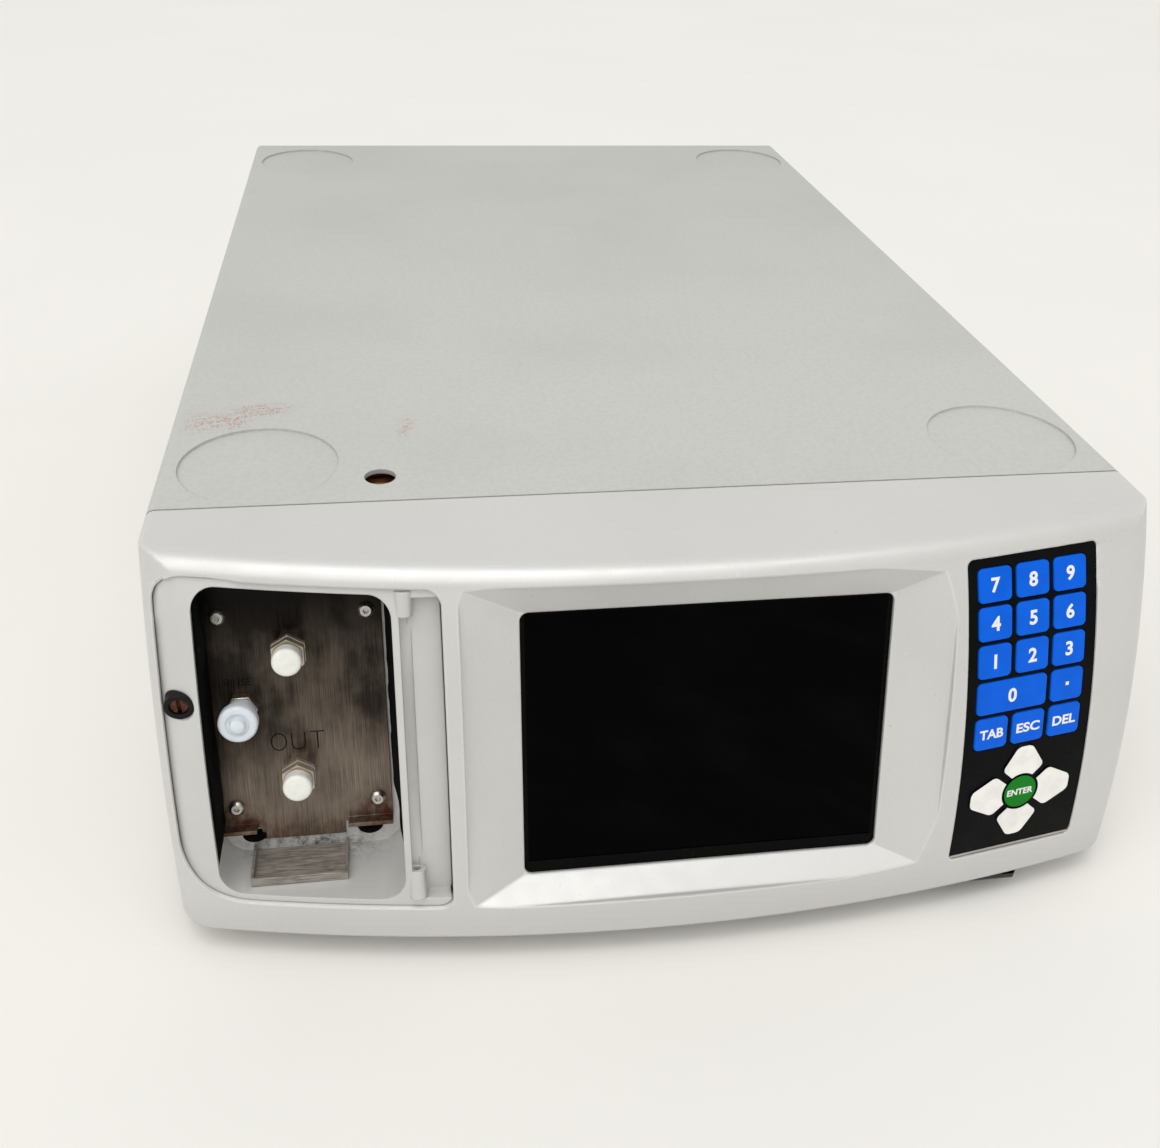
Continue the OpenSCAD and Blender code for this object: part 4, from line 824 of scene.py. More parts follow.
def sliced(bm, xs, zs, ys=()):
    """Cuts a shell into cells along its axes, and removes the old triangle lines inside them."""
    cuts = (sorted(xs), sorted(ys), sorted(zs))
    for axis, places in enumerate(cuts):
        for at in places:
            centre, normal = Vector(), Vector()
            centre[axis], normal[axis] = at, 1
            cut(bm, centre, normal)

    def on_cut(edge):
        a, b = (v.co for v in edge.verts)
        return any(
            abs(a[axis] - b[axis]) < 0.005 * MM and any(abs(a[axis] - at) < 0.005 * MM for at in cuts[axis])
            for axis in range(3)
        )

    bm.normal_update()
    flat = math.radians(4)
    inner = [e for e in bm.edges if len(e.link_faces) == 2 and e.calc_face_angle(1) < flat and not on_cut(e)]
    bmesh.ops.dissolve_edges(bm, edges=inner, use_verts=False)
    bm.normal_update()
    loose = []
    for v in bm.verts:
        if len(v.link_edges) == 2:
            a, b = ((e.other_vert(v).co - v.co).normalized() for e in v.link_edges)
            if a.dot(b) < -0.9995:
                loose.append(v)
    bmesh.ops.dissolve_verts(bm, verts=loose)
    bm.normal_update()


def steps(low, high, step):
    """Even places from low to high."""
    count = max(1, round((high - low) / step))
    return [low + (high - low) * i / count for i in range(count + 1)]


def turned(profile, name, body, slot, place, segments=48, **options):
    """A piece turned about its own Z axis from (radius, height) points in millimetres, then put in place."""
    bm = bmesh.new()
    points = [bm.verts.new((r * MM, 0, z * MM)) for r, z in profile]
    lines = [bm.edges.new(pair) for pair in zip(points, points[1:])]
    bmesh.ops.spin(
        bm, geom=points + lines, cent=(0, 0, 0), axis=(0, 0, 1), angle=2 * math.pi, steps=segments,
        use_merge=True,
    )
    bmesh.ops.remove_doubles(bm, verts=bm.verts, dist=WELD)
    bmesh.ops.recalc_face_normals(bm, faces=bm.faces)
    bmesh.ops.transform(bm, matrix=place, verts=bm.verts)
    return settle(bm, name, body, slot, **options)


def box_piece(bm, low, high, bevel=0.0, place=Matrix(), unit=MM):
    """Adds a bevelled block to a bmesh; its corners and bevel are in millimetres unless told otherwise."""
    low, high = Vector(low) * unit, Vector(high) * unit
    spread = Matrix.Diagonal((*(high - low), 1))
    made = bmesh.ops.create_cube(bm, size=1.0, matrix=place @ Matrix.Translation((low + high) / 2) @ spread)
    if bevel:
        bevelled(bm, edges_of(made), bevel * unit)


def leaning(centre, lean):
    """A frame that leans back: X to the right, Y up its front, Z towards the user."""
    return Matrix.Translation(centre) @ Matrix.Rotation(math.pi / 2 - lean, 4, "X")


def plate_place(across=0.0, up=0.0, lift=0.0):
    """The port plate's own frame, at a place from its middle."""
    return leaning(PLATE_MIDDLE, settings().shape.lean) @ Matrix.Translation((across, up, lift))


def keypad_place(across, along, lift=0.0):
    """A frame on the keypad: X to the right, Y up it, Z outwards, at a place from its middle."""
    s = settings().shape
    face = Face()
    x = HALF_W - s.keypad_side
    yaw = math.asin(x / face.plan)
    r = face.radius(x)
    tilt = math.asin((TOP_Z - s.keypad_drop - face.axis_z) / r)
    level = r * math.cos(tilt)
    centre = Vector((x - level * math.sin(yaw), face.axis_y - level * (1 - math.cos(yaw)), face.axis_z))
    turn = math.pi / 2 - tilt - along / r
    top = r - 0.5 * MM + lift
    return (
        Matrix.Translation(centre)
        @ Matrix.Rotation(yaw, 4, "Z")
        @ Matrix.Rotation(turn, 4, "X")
        @ Matrix.Translation((across, 0, top))
    )


def meshed(curve):
    """The shape of a text or a curve, as a bmesh."""
    holder = bpy.data.objects.new(curve.name, curve)
    bpy.context.scene.collection.objects.link(holder)
    bpy.context.view_layer.update()
    mesh = bpy.data.meshes.new_from_object(holder.evaluated_get(bpy.context.evaluated_depsgraph_get()))
    bpy.data.objects.remove(holder)
    bm = bmesh.new()
    bm.from_mesh(mesh)
    return bm


def printed(name, text, height, place, body, width=None):
    """Flat white lettering, centred on its place, with capitals of the given height."""
    curve = bpy.data.curves.new(name, "FONT")
    curve.body = text
    curve.size = 1.0
    curve.offset = 0.03
    curve.resolution_u = 6
    bm = meshed(curve)
    low = Vector([min(v.co[i] for v in bm.verts) for i in range(3)])
    high = Vector([max(v.co[i] for v in bm.verts) for i in range(3)])
    tall = height / (high.y - low.y)
    wide = tall if width is None else width / (high.x - low.x)
    fit = Matrix.Diagonal((wide, tall, 1, 1)) @ Matrix.Translation(-(low + high) / 2)
    bmesh.ops.transform(bm, matrix=place @ fit, verts=bm.verts)
    bmesh.ops.solidify(bm, geom=bm.faces[:], thickness=0.02 * MM)
    return settle(bm, name, body, "print_white")


STROKES = {
    "I": [[(0.0, 0), (0.0, 1)]],
    "N": [[(0, 0), (0, 1), (0.7, 0), (0.7, 1)]],
    "T": [[(0, 1), (0.76, 1)], [(0.38, 1), (0.38, 0)]],
    "U": [[(0, 1), (0, 0.3), (0.05, 0.13), (0.17, 0.03), (0.35, 0), (0.53, 0.03), (0.65, 0.13), (0.7, 0.3),
           (0.7, 1)]],
    "R": [[(0, 0), (0, 1), (0.42, 1), (0.6, 0.93), (0.66, 0.74), (0.6, 0.55), (0.42, 0.48), (0, 0.48)],
          [(0.34, 0.48), (0.68, 0)]],
    "E": [[(0.6, 0), (0, 0), (0, 1), (0.6, 1)], [(0, 0.52), (0.45, 0.52)]],
    "S": [[(0.64, 0.82), (0.55, 0.95), (0.35, 1), (0.12, 0.95), (0.03, 0.78), (0.1, 0.6), (0.35, 0.52),
           (0.58, 0.43), (0.66, 0.24), (0.57, 0.06), (0.34, 0), (0.1, 0.05), (0.0, 0.2)]],
    "O": [[(0.4 + 0.4 * math.sin(math.radians(a)), 0.5 + 0.5 * math.cos(math.radians(a)))
           for a in range(0, 361, 15)]],
}


def engraved(name, text, height, width, place):
    """Thin stroked capitals, centred on their place."""
    curve = bpy.data.curves.new(name, "CURVE")
    curve.dimensions = "3D"
    curve.bevel_depth = width / 2
    curve.bevel_resolution = 1
    curve.use_fill_caps = True
    across, gap = 0.0, 0.3
    for letter in text:
        strokes = STROKES[letter]
        for stroke in strokes:
            line = curve.splines.new("POLY")
            line.points.add(len(stroke) - 1)
            for point, (x, y) in zip(line.points, stroke):
                point.co = ((across + x) * height, y * height, 0, 1)
        across += max(x for stroke in strokes for x, _ in stroke) + gap
    shift = Matrix.Translation((-(across - gap) * height / 2, -height / 2, 0))
    flat = Matrix.Diagonal((1, 1, 0.12, 1))
    bm = meshed(curve)
    bmesh.ops.transform(bm, matrix=place @ flat @ shift, verts=bm.verts)
    return settle(bm, name, "case", "engraving")


# ---------- pieces ----------


class PUMP_OT_cabinet(Operator):
    """Paints the cover, panels, tray, feet and screws"""

    bl_idname = "pump.cabinet"
    bl_label = "Cabinet"

    def execute(self, context):
        soft_copy("cover", 0.0, sharp=25)
        soft_copy("feet", 0.6 * MM)
        soft_copy("rear_panel", 0.0)
        soft_copy("base_tray", 0.0)
        soft_copy("housing_screws", 0.0, sharp=25)
        paint_nodes(["front_plate"])
        bm = bmesh.new()
        under_hole = Matrix.Translation((-81.4 * MM, SEAM_Y + 20 * MM, TOP_Z - 3.4 * MM))
        box_piece(bm, (-7, -3.5, -1.2), (7, 0.2, 0), 0.3, under_hole)
        box_piece(bm, (-7, 2.6, -1.6), (7, 5.5, -0.4), 0.2, under_hole)
        settle(bm, "inner_bracket", "case", "aged_brass")
        return {"FINISHED"}


class PUMP_OT_bezel(Operator):
    """Makes the curved silver bezel with softly rounded ridges round its window"""

    bl_idname = "pump.bezel"
    bl_label = "Bezel"

    def execute(self, context):
        bm = merged("bezel")
        edge, rim, fine = HALF_W - 15 * MM, HALF_W - 1.5 * MM, 1.5 * MM
        xs = steps(-rim, -edge, fine) + steps(-edge, edge, 6 * MM)[1:-1] + steps(edge, rim, fine)
        brow = TOP_Z - 20 * MM
        zs = steps(BOTTOM_Z + 2 * MM, brow, 5 * MM) + steps(brow, TOP_Z - 0.5 * MM, 1 * MM)[1:]
        sliced(bm, xs, zs, steps(SEAM_Y - 34 * MM, SEAM_Y - 2 * MM, fine))
        face = Face()
        face.true_up(bm)
        bm.normal_update()
        self.ease_corners(bm)
        settle(
            bm, "bezel_skin", "case", "bezel_paint", "bezel", face=face,
            sharp=lambda place: 40 if self.in_corner(place) else 9,
        )
        return {"FINISHED"}

    def in_corner(self, p):
        """Whether a place is in one of the two top front corners."""
        return abs(p.x) > HALF_W - 24 * MM and p.z > TOP_Z - 18 * MM and p.y < SEAM_Y - 5 * MM

    def ease_corners(self, bm):
        """Rounds the two top front corners off, as far as the seam allows."""

        def creased(edge):
            folded = len(edge.link_faces) == 2 and edge.calc_face_angle(0) > math.radians(9)
            return folded and all(self.in_corner(v.co) for v in edge.verts)

        creases = [v.co.copy() for e in bm.edges if creased(e) for v in e.verts]
        tree = KDTree(len(creases))
        for i, p in enumerate(creases):
            tree.insert(p, i)
        tree.balance()
        near = [v for v in bm.verts if self.in_corner(v.co) and tree.find(v.co)[2] < 4 * MM]
        for _ in range(8):
            bmesh.ops.smooth_vert(
                bm, verts=near, factor=0.5, use_axis_x=True, use_axis_y=True, use_axis_z=True
            )
        bm.normal_update()


class PUMP_OT_liner(Operator):
    """Makes the port bay's silver-grey liner"""

    bl_idname = "pump.liner"
    bl_label = "Bay liner"

    def execute(self, context):
        bm = merged("port_bay")
        low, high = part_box("port_bay")
        land = low.x + 12 * MM
        xs = steps(low.x + 0.6 * MM, land, 0.8 * MM) + steps(land, high.x - 1 * MM, 5 * MM)[1:]
        sliced(bm, xs, steps(low.z + 2 * MM, high.z - 2 * MM, 4 * MM))
        face = Face(FRONT_OVER_LINER)
        face.true_up(bm)
        bm.normal_update()
        settle(bm, "port_bay_skin", "case", "liner_plastic", "port_bay", sharp=20, face=face)
        return {"FINISHED"}


class PUMP_OT_display(Operator):
    """Makes the display's glass and its gasket"""

    bl_idname = "pump.display"
    bl_label = "Display"

    def execute(self, context):
        soft_copy("display_glass", 0.2 * MM)
        paint_nodes(["lcd_module"])
        lean = settings().shape.window_lean
        low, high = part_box("display_glass")
        place = leaning((low + high) / 2, lean)
        margin, thickness = 3, 2
        half_w = (high.x - low.x) / MM / 2 - margin
        half_h = ((high.z - low.z) / MM - thickness * math.sin(lean)) / math.cos(lean) / 2 - margin
        back, front = 1.0, 1.12
        sill, head, jamb = -half_h + 3.6, half_h - 0.9, half_w - 1.4
        bm = bmesh.new()
        box_piece(bm, (-half_w, -half_h, back), (half_w, sill, front + 0.25), 0.1, place)
        box_piece(bm, (-half_w, head, back), (half_w, half_h, front), 0.05, place)
        box_piece(bm, (-half_w, sill, back), (-jamb, head, front), 0.05, place)
        box_piece(bm, (jamb, sill, back), (half_w, head, front), 0.05, place)
        settle(bm, "display_gasket", "case", "gasket")
        return {"FINISHED"}


GRID_KEYS = (
    ("7", "8", "9"), ("4", "5", "6"), ("1", "2", "3"), ("0", None, "point"), ("tab", "esc", "del"),
)


class PUMP_OT_keypad(Operator):
    """Makes the overlay, its mat and every key, with their printed legends"""

    bl_idname = "pump.keypad"
    bl_label = "Keypad"

    def execute(self, context):
        s = settings().shape
        soft_copy("keypad_overlay", 0.0, sharp=40)
        paint_nodes(["key_mat"])
        round_row = s.first_row - ROUND_KEY_ROWS * s.key_pitch_y + ROUND_KEY_SHIFT
        self.round_keys(round_row)
        for name in [n for n in frame["nodes"] if n.startswith("key_") and slot_of(n) == "key_blue"]:
            soft_copy(name, 0.4 * MM, 3)
        for row, names in enumerate(GRID_KEYS):
            for column, key in enumerate(names):
                if key:
                    across = (column - 1 + (0.5 if key == "0" else 0)) * s.key_pitch_x
                    self.legend(key, keypad_place(across, s.first_row - row * s.key_pitch_y, 0.045 * MM))
        # A steel strip along the pocket's lower ledge: a painted highlight where the ledge catches the light.
        bm = bmesh.new()
        box_piece(bm, (-21.6, -0.45, -0.7), (21.6, 0.45, -0.22), 0.1, keypad_place(0, -47.9 * MM))
        settle(bm, "ledge_highlight_strip", "case", "screw_steel")
        on_film = keypad_place(0, round_row, FILM_LIFT + FILM_THICKNESS + 0.03 * MM)
        printed("legend_enter", "ENTER", 2.2 * MM, on_film, body_of("key_enter"), 9.0 * MM)
        return {"FINISHED"}

    def legend(self, key, place):
        """Prints the sign of one key of the grid."""
        body = body_of("key_" + key)
        if key == "point":
            bm = bmesh.new()
            box_piece(bm, (-0.55, -0.2, 0), (0.55, 0.9, 0.02), place=place)
            settle(bm, "legend_point", body, "print_white")
        elif len(key) == 1:
            printed("legend_" + key, key, 4.4 * MM, place, body)
        else:
            printed("legend_" + key, key.upper(), 3.1 * MM, place, body, 8.0 * MM)

    def round_keys(self, along):
        """Makes the films of the round key and of the four arrow pads about it."""
        hollow = [math.radians(d) for d in range(34, -35, -4)]
        arc = [(PAD_HOLLOW_RADIUS * math.cos(a), PAD_HOLLOW_RADIUS * math.sin(a)) for a in hollow]
        circle = [i * math.pi / 30 for i in range(60)]
        disc = [(ROUND_KEY_RADIUS * math.cos(a), ROUND_KEY_RADIUS * math.sin(a)) for a in circle]
        shapes = [("key_enter", disc, 0)]
        for node, turn in (("key_right", 0), ("key_up", 90), ("key_left", 180), ("key_down", 270)):
            side = PAD_SIDES[turn % 180]
            shapes.append((node, side + arc + [(r, -t) for r, t in reversed(side)], turn))
        for node, ring, turn in shapes:
            bm = bmesh.new()
            top = bm.faces.new([bm.verts.new((r * MM, t * MM, 0)) for r, t in reversed(ring)])
            if top.normal.z < 0:
                top.normal_flip()
            if node != "key_enter":
                outer = [v for v in bm.verts if v.co.length > (PAD_HOLLOW_RADIUS + 0.01) * MM]
                bevelled(bm, outer, PAD_ROUNDING, 4, "VERTICES")
            bmesh.ops.triangulate(bm, faces=bm.faces[:])
            raised = bmesh.ops.extrude_face_region(bm, geom=bm.faces[:])
            for v in [g for g in raised["geom"] if isinstance(g, bmesh.types.BMVert)]:
                v.co.z += FILM_THICKNESS
            bmesh.ops.recalc_face_normals(bm, faces=bm.faces)
            flatten(bm)
            bmesh.ops.transform(bm, matrix=Matrix.Rotation(math.radians(turn), 4, "Z"), verts=bm.verts)
            for at in steps(-16 * MM, 16 * MM, 1.6 * MM):
                cut(bm, (0, at, 0), (0, 1, 0))
            for v in bm.verts:
                v.co = keypad_place(v.co.x, along + v.co.y, FILM_LIFT + v.co.z).translation
            settle(bm, node + "_film", body_of(node), slot_of(node), node, sharp=30)


class PUMP_OT_port_plate(Operator):
    """Makes the brushed port plate with its screws, nuts, drip tray and engraving"""

    bl_idname = "pump.port_plate"
    bl_label = "Port plate"

    def execute(self, context):
        s = settings().shape
        soft_copy("port_plate", 0.3 * MM)
        soft_copy("plate_screws", 0.12 * MM, sharp=25)
        tray = soft_copy("drip_tray", 0.15 * MM)
        tray.data.materials[0] = finish("tray_steel")
        soft_copy("port_fittings", 0.25 * MM, sharp=25)
        in_x, rinse_x = middle_x("in_cap"), middle_x("rinse_cap")
        for text, x, up, height, width in (
            ("IN", in_x, 33.4, s.letter_height, s.stroke_width),
            ("OUT", in_x, -4.2, s.letter_height, s.stroke_width),
            ("RINSE", rinse_x - 0.6 * MM, 15.2, 2.0 * MM, 0.26 * MM),
        ):
            engraved("engraving_" + text.lower(), text, height, width, plate_place(x, up * MM, 0.01 * MM))
        low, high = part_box("port_plate")
        pad = [(0, -2.4), (3.2, -2.4), (3.9, -1.8), (3.9, -0.4), (3.4, 0), (0, 0)]
        for side, x in (("left", low.x + 8.5 * MM), ("right", high.x - 7 * MM)):
            under_foot = Matrix.Translation((x, low.y + 5.2 * MM, low.z + 2.6 * MM))
            turned(pad, "plate_pad_" + side, "case", "seal_foam", under_foot)
        return {"FINISHED"}


class PUMP_OT_caps(Operator):
    """Makes the soft plastic caps on the three ports"""

    bl_idname = "pump.caps"
    bl_label = "Port caps"

    def execute(self, context):
        front, wall, bore, rounding = 12.9, 1.6, 3.05, 1.1
        quarter = [i * math.pi / 12 for i in range(6, -1, -1)]
        for port, (up, across) in PORTS.items():
            node, r = port + "_cap", across / 2
            edge = [(r - rounding * (1 - math.sin(a)), front - rounding * (1 - math.cos(a))) for a in quarter]
            if port == "rinse":
                neck, foot, skirt = 3.9, 3.9, 9.2
                start = [(bore, foot), (neck, foot), (neck, skirt), (r - 0.5, skirt), (r, skirt + 0.5)]
                tip = [(3.4, 0), (3.1, -0.5), (2.3, -0.5), (2.0, 1.1), (1.5, 1.5), (0, 1.5)]
            else:
                skirt = 8.5
                start = [(bore, skirt), (r - 0.4, skirt), (r, skirt + 0.4)]
                tip = [(2.0, 0.14), (0, 0.2)]
            inside = [(0, front - wall), (bore, front - wall)]
            profile = inside + start + edge + [(a, front + b) for a, b in tip]
            place = plate_place(middle_x(node), up * MM)
            turned(profile, node + "_soft", body_of(node), slot_of(node), place, node=node, sharp=40)
        return {"FINISHED"}


class PUMP_OT_port_nuts(Operator):
    """Makes the hexagon nuts behind the IN and OUT caps"""

    bl_idname = "pump.port_nuts"
    bl_label = "Port nuts"

    def execute(self, context):
        for port in ("in", "out"):
            bm = bmesh.new()
            for across, low, high in ((9.4, 3.7, 5.6), (9.0, 5.75, 8.2)):
                radius = across / math.sqrt(3) * MM
                hexagon = bmesh.ops.create_cone(
                    bm, cap_ends=True, segments=6, radius1=radius, radius2=radius, depth=(high - low) * MM,
                    matrix=Matrix.Translation((0, 0, (low + high) / 2 * MM)),
                )
                bevelled(bm, edges_of(hexagon), 0.35 * MM)
            place = plate_place(middle_x(port + "_cap"), PORTS[port][0] * MM)
            bmesh.ops.transform(bm, matrix=place, verts=bm.verts)
            settle(bm, port + "_nut", "case", "nut_steel", sharp=25)
        return {"FINISHED"}


class PUMP_OT_seal(Operator):
    """Lines the well's walls with black foam, lumpy along its left edge; over the top and down the right it
    also serves as painted shade in the well.
    """

    bl_idname = "pump.seal"
    bl_label = "Well seal"

    def execute(self, context):
        s = settings().shape
        plate_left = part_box("port_plate")[0].x
        left, right = plate_left - 0.1 * MM, plate_left + 52.1 * MM
        top, low = TOP_Z - 7 * MM, TOP_Z - 88 * MM
        path = self.route(left, right, top, low)
        rows, deep = len(path), 14
        middle = Vector(((left + right) / 2, 0, (top + low) / 2))
        face = Face(FRONT_OVER_LINER)
        bm = bmesh.new()
        made = bmesh.ops.create_grid(bm, x_segments=rows - 1, y_segments=deep, size=0.5)
        for v in made["verts"]:
            i = round((v.co.x + 0.5) * (rows - 1))
            share = v.co.y + 0.5
            x, z = path[i]
            before, after = path[max(i - 1, 0)], path[min(i + 1, rows - 1)]
            along = Vector((after[0] - before[0], 0, after[1] - before[1])).normalized()
            inward = Vector((along.z, 0, -along.x))
            on_left = x < left + 3 * MM
            start = face.y_at(x, z) + (1.6 if on_left else 2.4) * MM
            end = PLATE_MIDDLE.y + (z - PLATE_MIDDLE.z) * math.tan(s.lean) - 0.3 * MM
            y = start + (end - start) * share
            place = Vector((x, y, z))
            swell = 1 + noise.noise(place / (4 * MM)) * 0.35 + noise.noise(place / (1.4 * MM)) * 0.15
            if on_left:
                for drop, size, rise in ((24, 7, 2.6), (66, 9, 2.8), (45, 5, 0.5)):
                    near = math.exp(-(((z - TOP_Z + drop * MM) / (size * MM)) ** 2))
                    swell += rise * near * math.exp(-((share / 0.6) ** 2))
            if x > right - 3 * MM:
                swell += 2.2 * max(0.0, share - 0.45) / 0.55
            taper = min(1.0, share / 0.08, (1 - share) / 0.04, i / 3, (rows - 1 - i) / 3)
            v.co = place + inward * s.seal_thickness * swell * max(0.0, taper)
        bmesh.ops.recalc_face_normals(bm, faces=bm.faces)
        bm.faces.ensure_lookup_table()
        first = bm.faces[len(bm.faces) // 8]
        if first.normal.dot(middle - first.calc_center_median()) < 0:
            bmesh.ops.reverse_faces(bm, faces=bm.faces)
        piece = settle(bm, "well_seal", "case", "seal_foam", sharp=70)
        wall = piece.modifiers.new("foam wall", "SOLIDIFY")
        wall.thickness = 0.4 * MM
        wall.offset = -1.0
        return {"FINISHED"}

    def route(self, left, right, top, low):
        """The foam's way up the left wall, over the top and down the right, seen from the front."""
        quarter = [i * math.pi / 16 for i in range(1, 9)]
        wide, tight = 7 * MM, 6 * MM
        path = [(left, z) for z in steps(low, top - wide, 1.2 * MM)]
        path += [(left + wide * (1 - math.cos(a)), top - wide * (1 - math.sin(a))) for a in quarter]
        path += [(x, top) for x in steps(left + 8 * MM, right - 7 * MM, 1.5 * MM)]
        path += [(right - tight * (1 - math.sin(a)), top - tight * (1 - math.cos(a))) for a in quarter]
        return path + [(right, z) for z in reversed(steps(TOP_Z - 80 * MM, top - wide, 1.5 * MM))]


class PUMP_OT_catch(Operator):
    """Makes the door catch's bush and screw"""

    bl_idname = "pump.catch"
    bl_label = "Door catch"

    def execute(self, context):
        soft_copy("catch_bush", 0.3 * MM)
        soft_copy("catch_screw", 0.2 * MM)
        return {"FINISHED"}


class PUMP_OT_back(Operator):
    """Finishes the rocker switch, fan, mains inlet and the signal sockets"""

    bl_idname = "pump.back"
    bl_label = "Switch and back panel"

    def execute(self, context):
        for name in (
            "rocker_housing", "power_rocker", "inlet_socket", "fuse_drawer", "fan_frame", "fan_rotor",
        ):
            soft_copy(name)
        soft_copy("signal_sockets", 0.3 * MM)
        self.switch_skirt()
        self.socket_faces()
        return {"FINISHED"}

    def switch_skirt(self):
        """Makes four walls round the rocker, below the bezel.

        The walls are in metres, as their outer faces lie in the planes of the housing's.
        """
        outer_low, outer_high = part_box("rocker_housing")
        inner_low, inner_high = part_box("power_rocker")
        gap, drop = 0.6 * MM, 3.6 * MM
        left, right = inner_low.x - gap, inner_high.x + gap
        bottom, top = BOTTOM_Z - drop, BOTTOM_Z + 0.2 * MM
        bm = bmesh.new()
        for x1, x2, y1, y2 in (
            (outer_low.x, left, outer_low.y, outer_high.y), (right, outer_high.x, outer_low.y, outer_high.y),
            (left, right, outer_low.y, inner_low.y - gap), (left, right, inner_high.y + gap, outer_high.y),
        ):
            box_piece(bm, (x1, y1, bottom), (x2, y2, top), 0.3 * MM, unit=1)
        settle(bm, "switch_skirt", "case", "switch_black")

    def socket_faces(self):
        """Makes the cores and contacts of the three signal sockets."""
        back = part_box("signal_sockets")[1].y / MM
        cores, contacts = bmesh.new(), bmesh.new()
        for x, width, height, pins in ((-24, 17, 66, 5), (22, 39, 66, 13), (0, 12, 40, 4)):
            z = BOTTOM_Z / MM + height
            half = width / 2 - 1.4
            box_piece(cores, (x - half, back - 0.2, z - 3.1), (x + half, back + 0.12, z + 3.1), 0.1)
            for i in range(pins):
                at = x + (i / (pins - 1) - 0.5) * (2 * half - 3)
                for row in (z - 1.4, z + 1.4):
                    box_piece(contacts, (at - 0.4, back, row - 0.4), (at + 0.4, back + 0.35, row + 0.4), 0.1)
        settle(cores, "socket_cores", "case", "socket_core")
        settle(contacts, "socket_contacts", "case", "contact_gold")


class PUMP_OT_inner_works(Operator):
    """Finishes the syringe drive and the electronics inside"""

    bl_idname = "pump.inner_works"
    bl_label = "Inner works"

    def execute(self, context):
        paint_nodes([
            "power_supply", "control_board", "drive_frame", "guide_rods", "screw_bearings", "lead_screw",
            "carriage", "plunger", "barrel", "valve_head", "motor", "motor_pulley", "drive_belt",
        ])
        return {"FINISHED"}


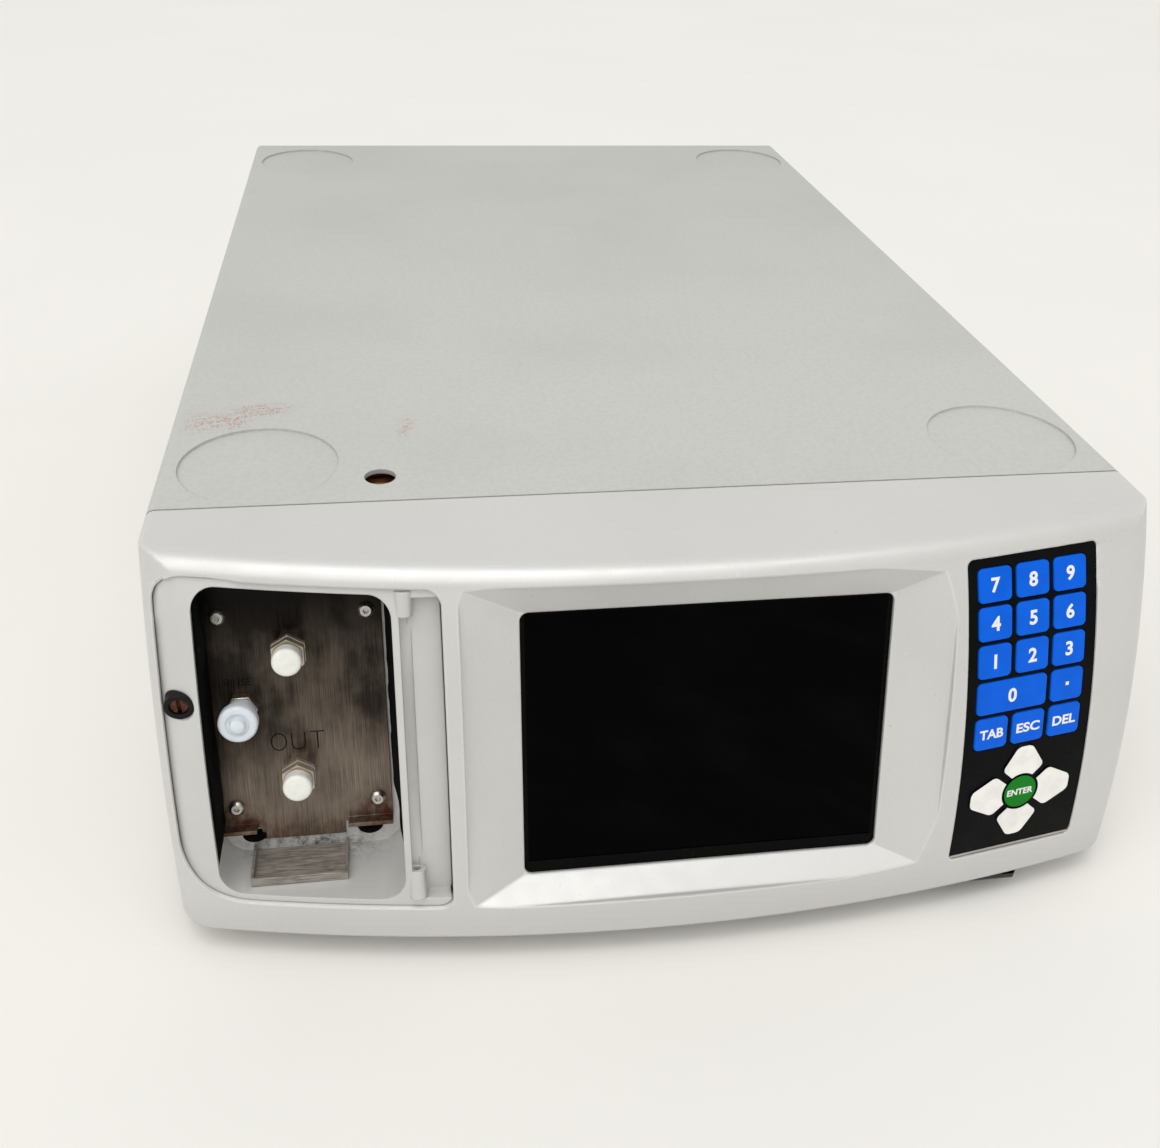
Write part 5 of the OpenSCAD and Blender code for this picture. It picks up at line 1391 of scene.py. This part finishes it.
class PUMP_OT_stage(Operator):
    """Sets up the floor, the lamps, the surround and the camera"""

    bl_idname = "pump.stage"
    bl_label = "Stage"

    def execute(self, context):
        scene, s, colour = context.scene, settings().stage, tuple(settings().colours.floor)
        bm = bmesh.new()
        bmesh.ops.create_grid(bm, x_segments=8, y_segments=8, size=6.0)
        mesh = bpy.data.meshes.new("floor")
        bm.to_mesh(mesh)
        bm.free()
        floor = bpy.data.objects.new("floor", mesh)
        scene.collection.objects.link(floor)
        made = Finish("floor card", 0.8, 0.0, 0.1)
        uneven = made.grade(made.cloud(200, 3.0), 0.3, 0.7)
        made.put("Base Color", made.mixed(uneven, colour, made.shaded(colour, 0.985)))
        mesh.materials.append(made.material)

        world = scene.world = bpy.data.worlds.new("surround")
        sky = Nodes(world)
        height = sky.part(sky.node("ShaderNodeTexCoord").outputs["Generated"], "Z")
        level = sky.grade(height, 0.0, 1.0, 0.85 * s.world_level, 1.08 * s.world_level, "LINEAR")
        path = sky.node("ShaderNodeLightPath").outputs
        seen = sky.calc("ADD", path["Is Camera Ray"], path["Is Glossy Ray"])
        mix = sky.node("ShaderNodeMixShader")
        sky.join(mix.inputs["Fac"], sky.calc("ADD", seen, path["Is Transmission Ray"]))
        for socket, shade, strength in ((1, tone(255, 255, 254), level), (2, colour, 1.0)):
            light = sky.node("ShaderNodeBackground")
            sky.join(light.inputs["Color"], shade)
            sky.join(light.inputs["Strength"], strength)
            sky.join(mix.inputs[socket], light.outputs[0])
        sky.join(sky.node("ShaderNodeOutputWorld").inputs["Surface"], mix.outputs[0])

        def lamp(name, kind, at, aim, **values):
            data = bpy.data.lights.new(name, kind)
            data.color = tone(255, 254, 253)
            for key, value in values.items():
                setattr(data, key, value)
            holder = bpy.data.objects.new(name, data)
            holder.location = at
            holder.rotation_euler = Vector(aim).to_track_quat("-Z", "Y").to_euler()
            scene.collection.objects.link(holder)

        lamp(
            "lamp over the front", "AREA", (0.05, -0.55, 1.5), (-0.05, 0.45, -1.44),
            shape="RECTANGLE", size=1.5, size_y=0.3, energy=s.key_level,
        )
        lamp(
            "broad light", "SUN", (-0.5, -0.7, 1.6), (0.28, 0.4, -0.87), energy=s.sun_level,
            angle=math.radians(60),
        )

        level = math.cos(s.pitch)
        ahead = Vector((math.sin(s.yaw) * level, math.cos(s.yaw) * level, -math.sin(s.pitch)))
        flat = Vector((math.cos(s.yaw), -math.sin(s.yaw), 0))
        above = flat.cross(ahead)
        right = math.cos(s.roll) * flat + math.sin(s.roll) * above
        up = math.cos(s.roll) * above - math.sin(s.roll) * flat
        data = bpy.data.cameras.new("camera")
        data.lens, data.sensor_width = s.lens, 36
        data.clip_start, data.clip_end = 0.01, 50
        camera = bpy.data.objects.new("camera", data)
        rows = [(right[i], up[i], -ahead[i], s.eye[i]) for i in range(3)]
        camera.matrix_world = Matrix((*rows, (0, 0, 0, 1)))
        scene.collection.objects.link(camera)
        scene.camera = camera
        scene.view_settings.view_transform = "Standard"
        return {"FINISHED"}


PIECES = (
    PUMP_OT_cabinet, PUMP_OT_bezel, PUMP_OT_liner, PUMP_OT_display, PUMP_OT_keypad, PUMP_OT_port_plate,
    PUMP_OT_caps, PUMP_OT_port_nuts, PUMP_OT_seal, PUMP_OT_catch, PUMP_OT_back, PUMP_OT_inner_works,
    PUMP_OT_stage,
)


class PUMP_PT_looks(Panel):
    """Lists the pump's pieces and its main values"""

    bl_idname = "PUMP_PT_looks"
    bl_label = "Syringe pump"
    bl_space_type = "VIEW_3D"
    bl_region_type = "UI"
    bl_category = "Pump"

    def draw(self, context):
        values = context.scene.pump_looks
        for piece in PIECES:
            self.layout.operator(piece.bl_idname)
        for group in (values.shape, values.colours, values.stage):
            box = self.layout.box()
            for name in group.__annotations__:
                box.prop(group, name)


CLASSES = (PumpShape, PumpColours, PumpStage, PumpSettings, *PIECES, PUMP_PT_looks)


def register():
    """Adds the classes and the scene's values."""
    for made in CLASSES:
        bpy.utils.register_class(made)
    bpy.types.Scene.pump_looks = PointerProperty(
        type=PumpSettings, name="Pump", description="Values of the pump's looks"
    )


def unregister():
    """Removes them again."""
    del bpy.types.Scene.pump_looks
    for made in reversed(CLASSES):
        bpy.utils.unregister_class(made)


def main():
    """Makes every piece and the stage."""
    register()
    for piece in PIECES:
        group, name = piece.bl_idname.split(".")
        getattr(getattr(bpy.ops, group), name)()


if __name__ == "__main__":
    main()
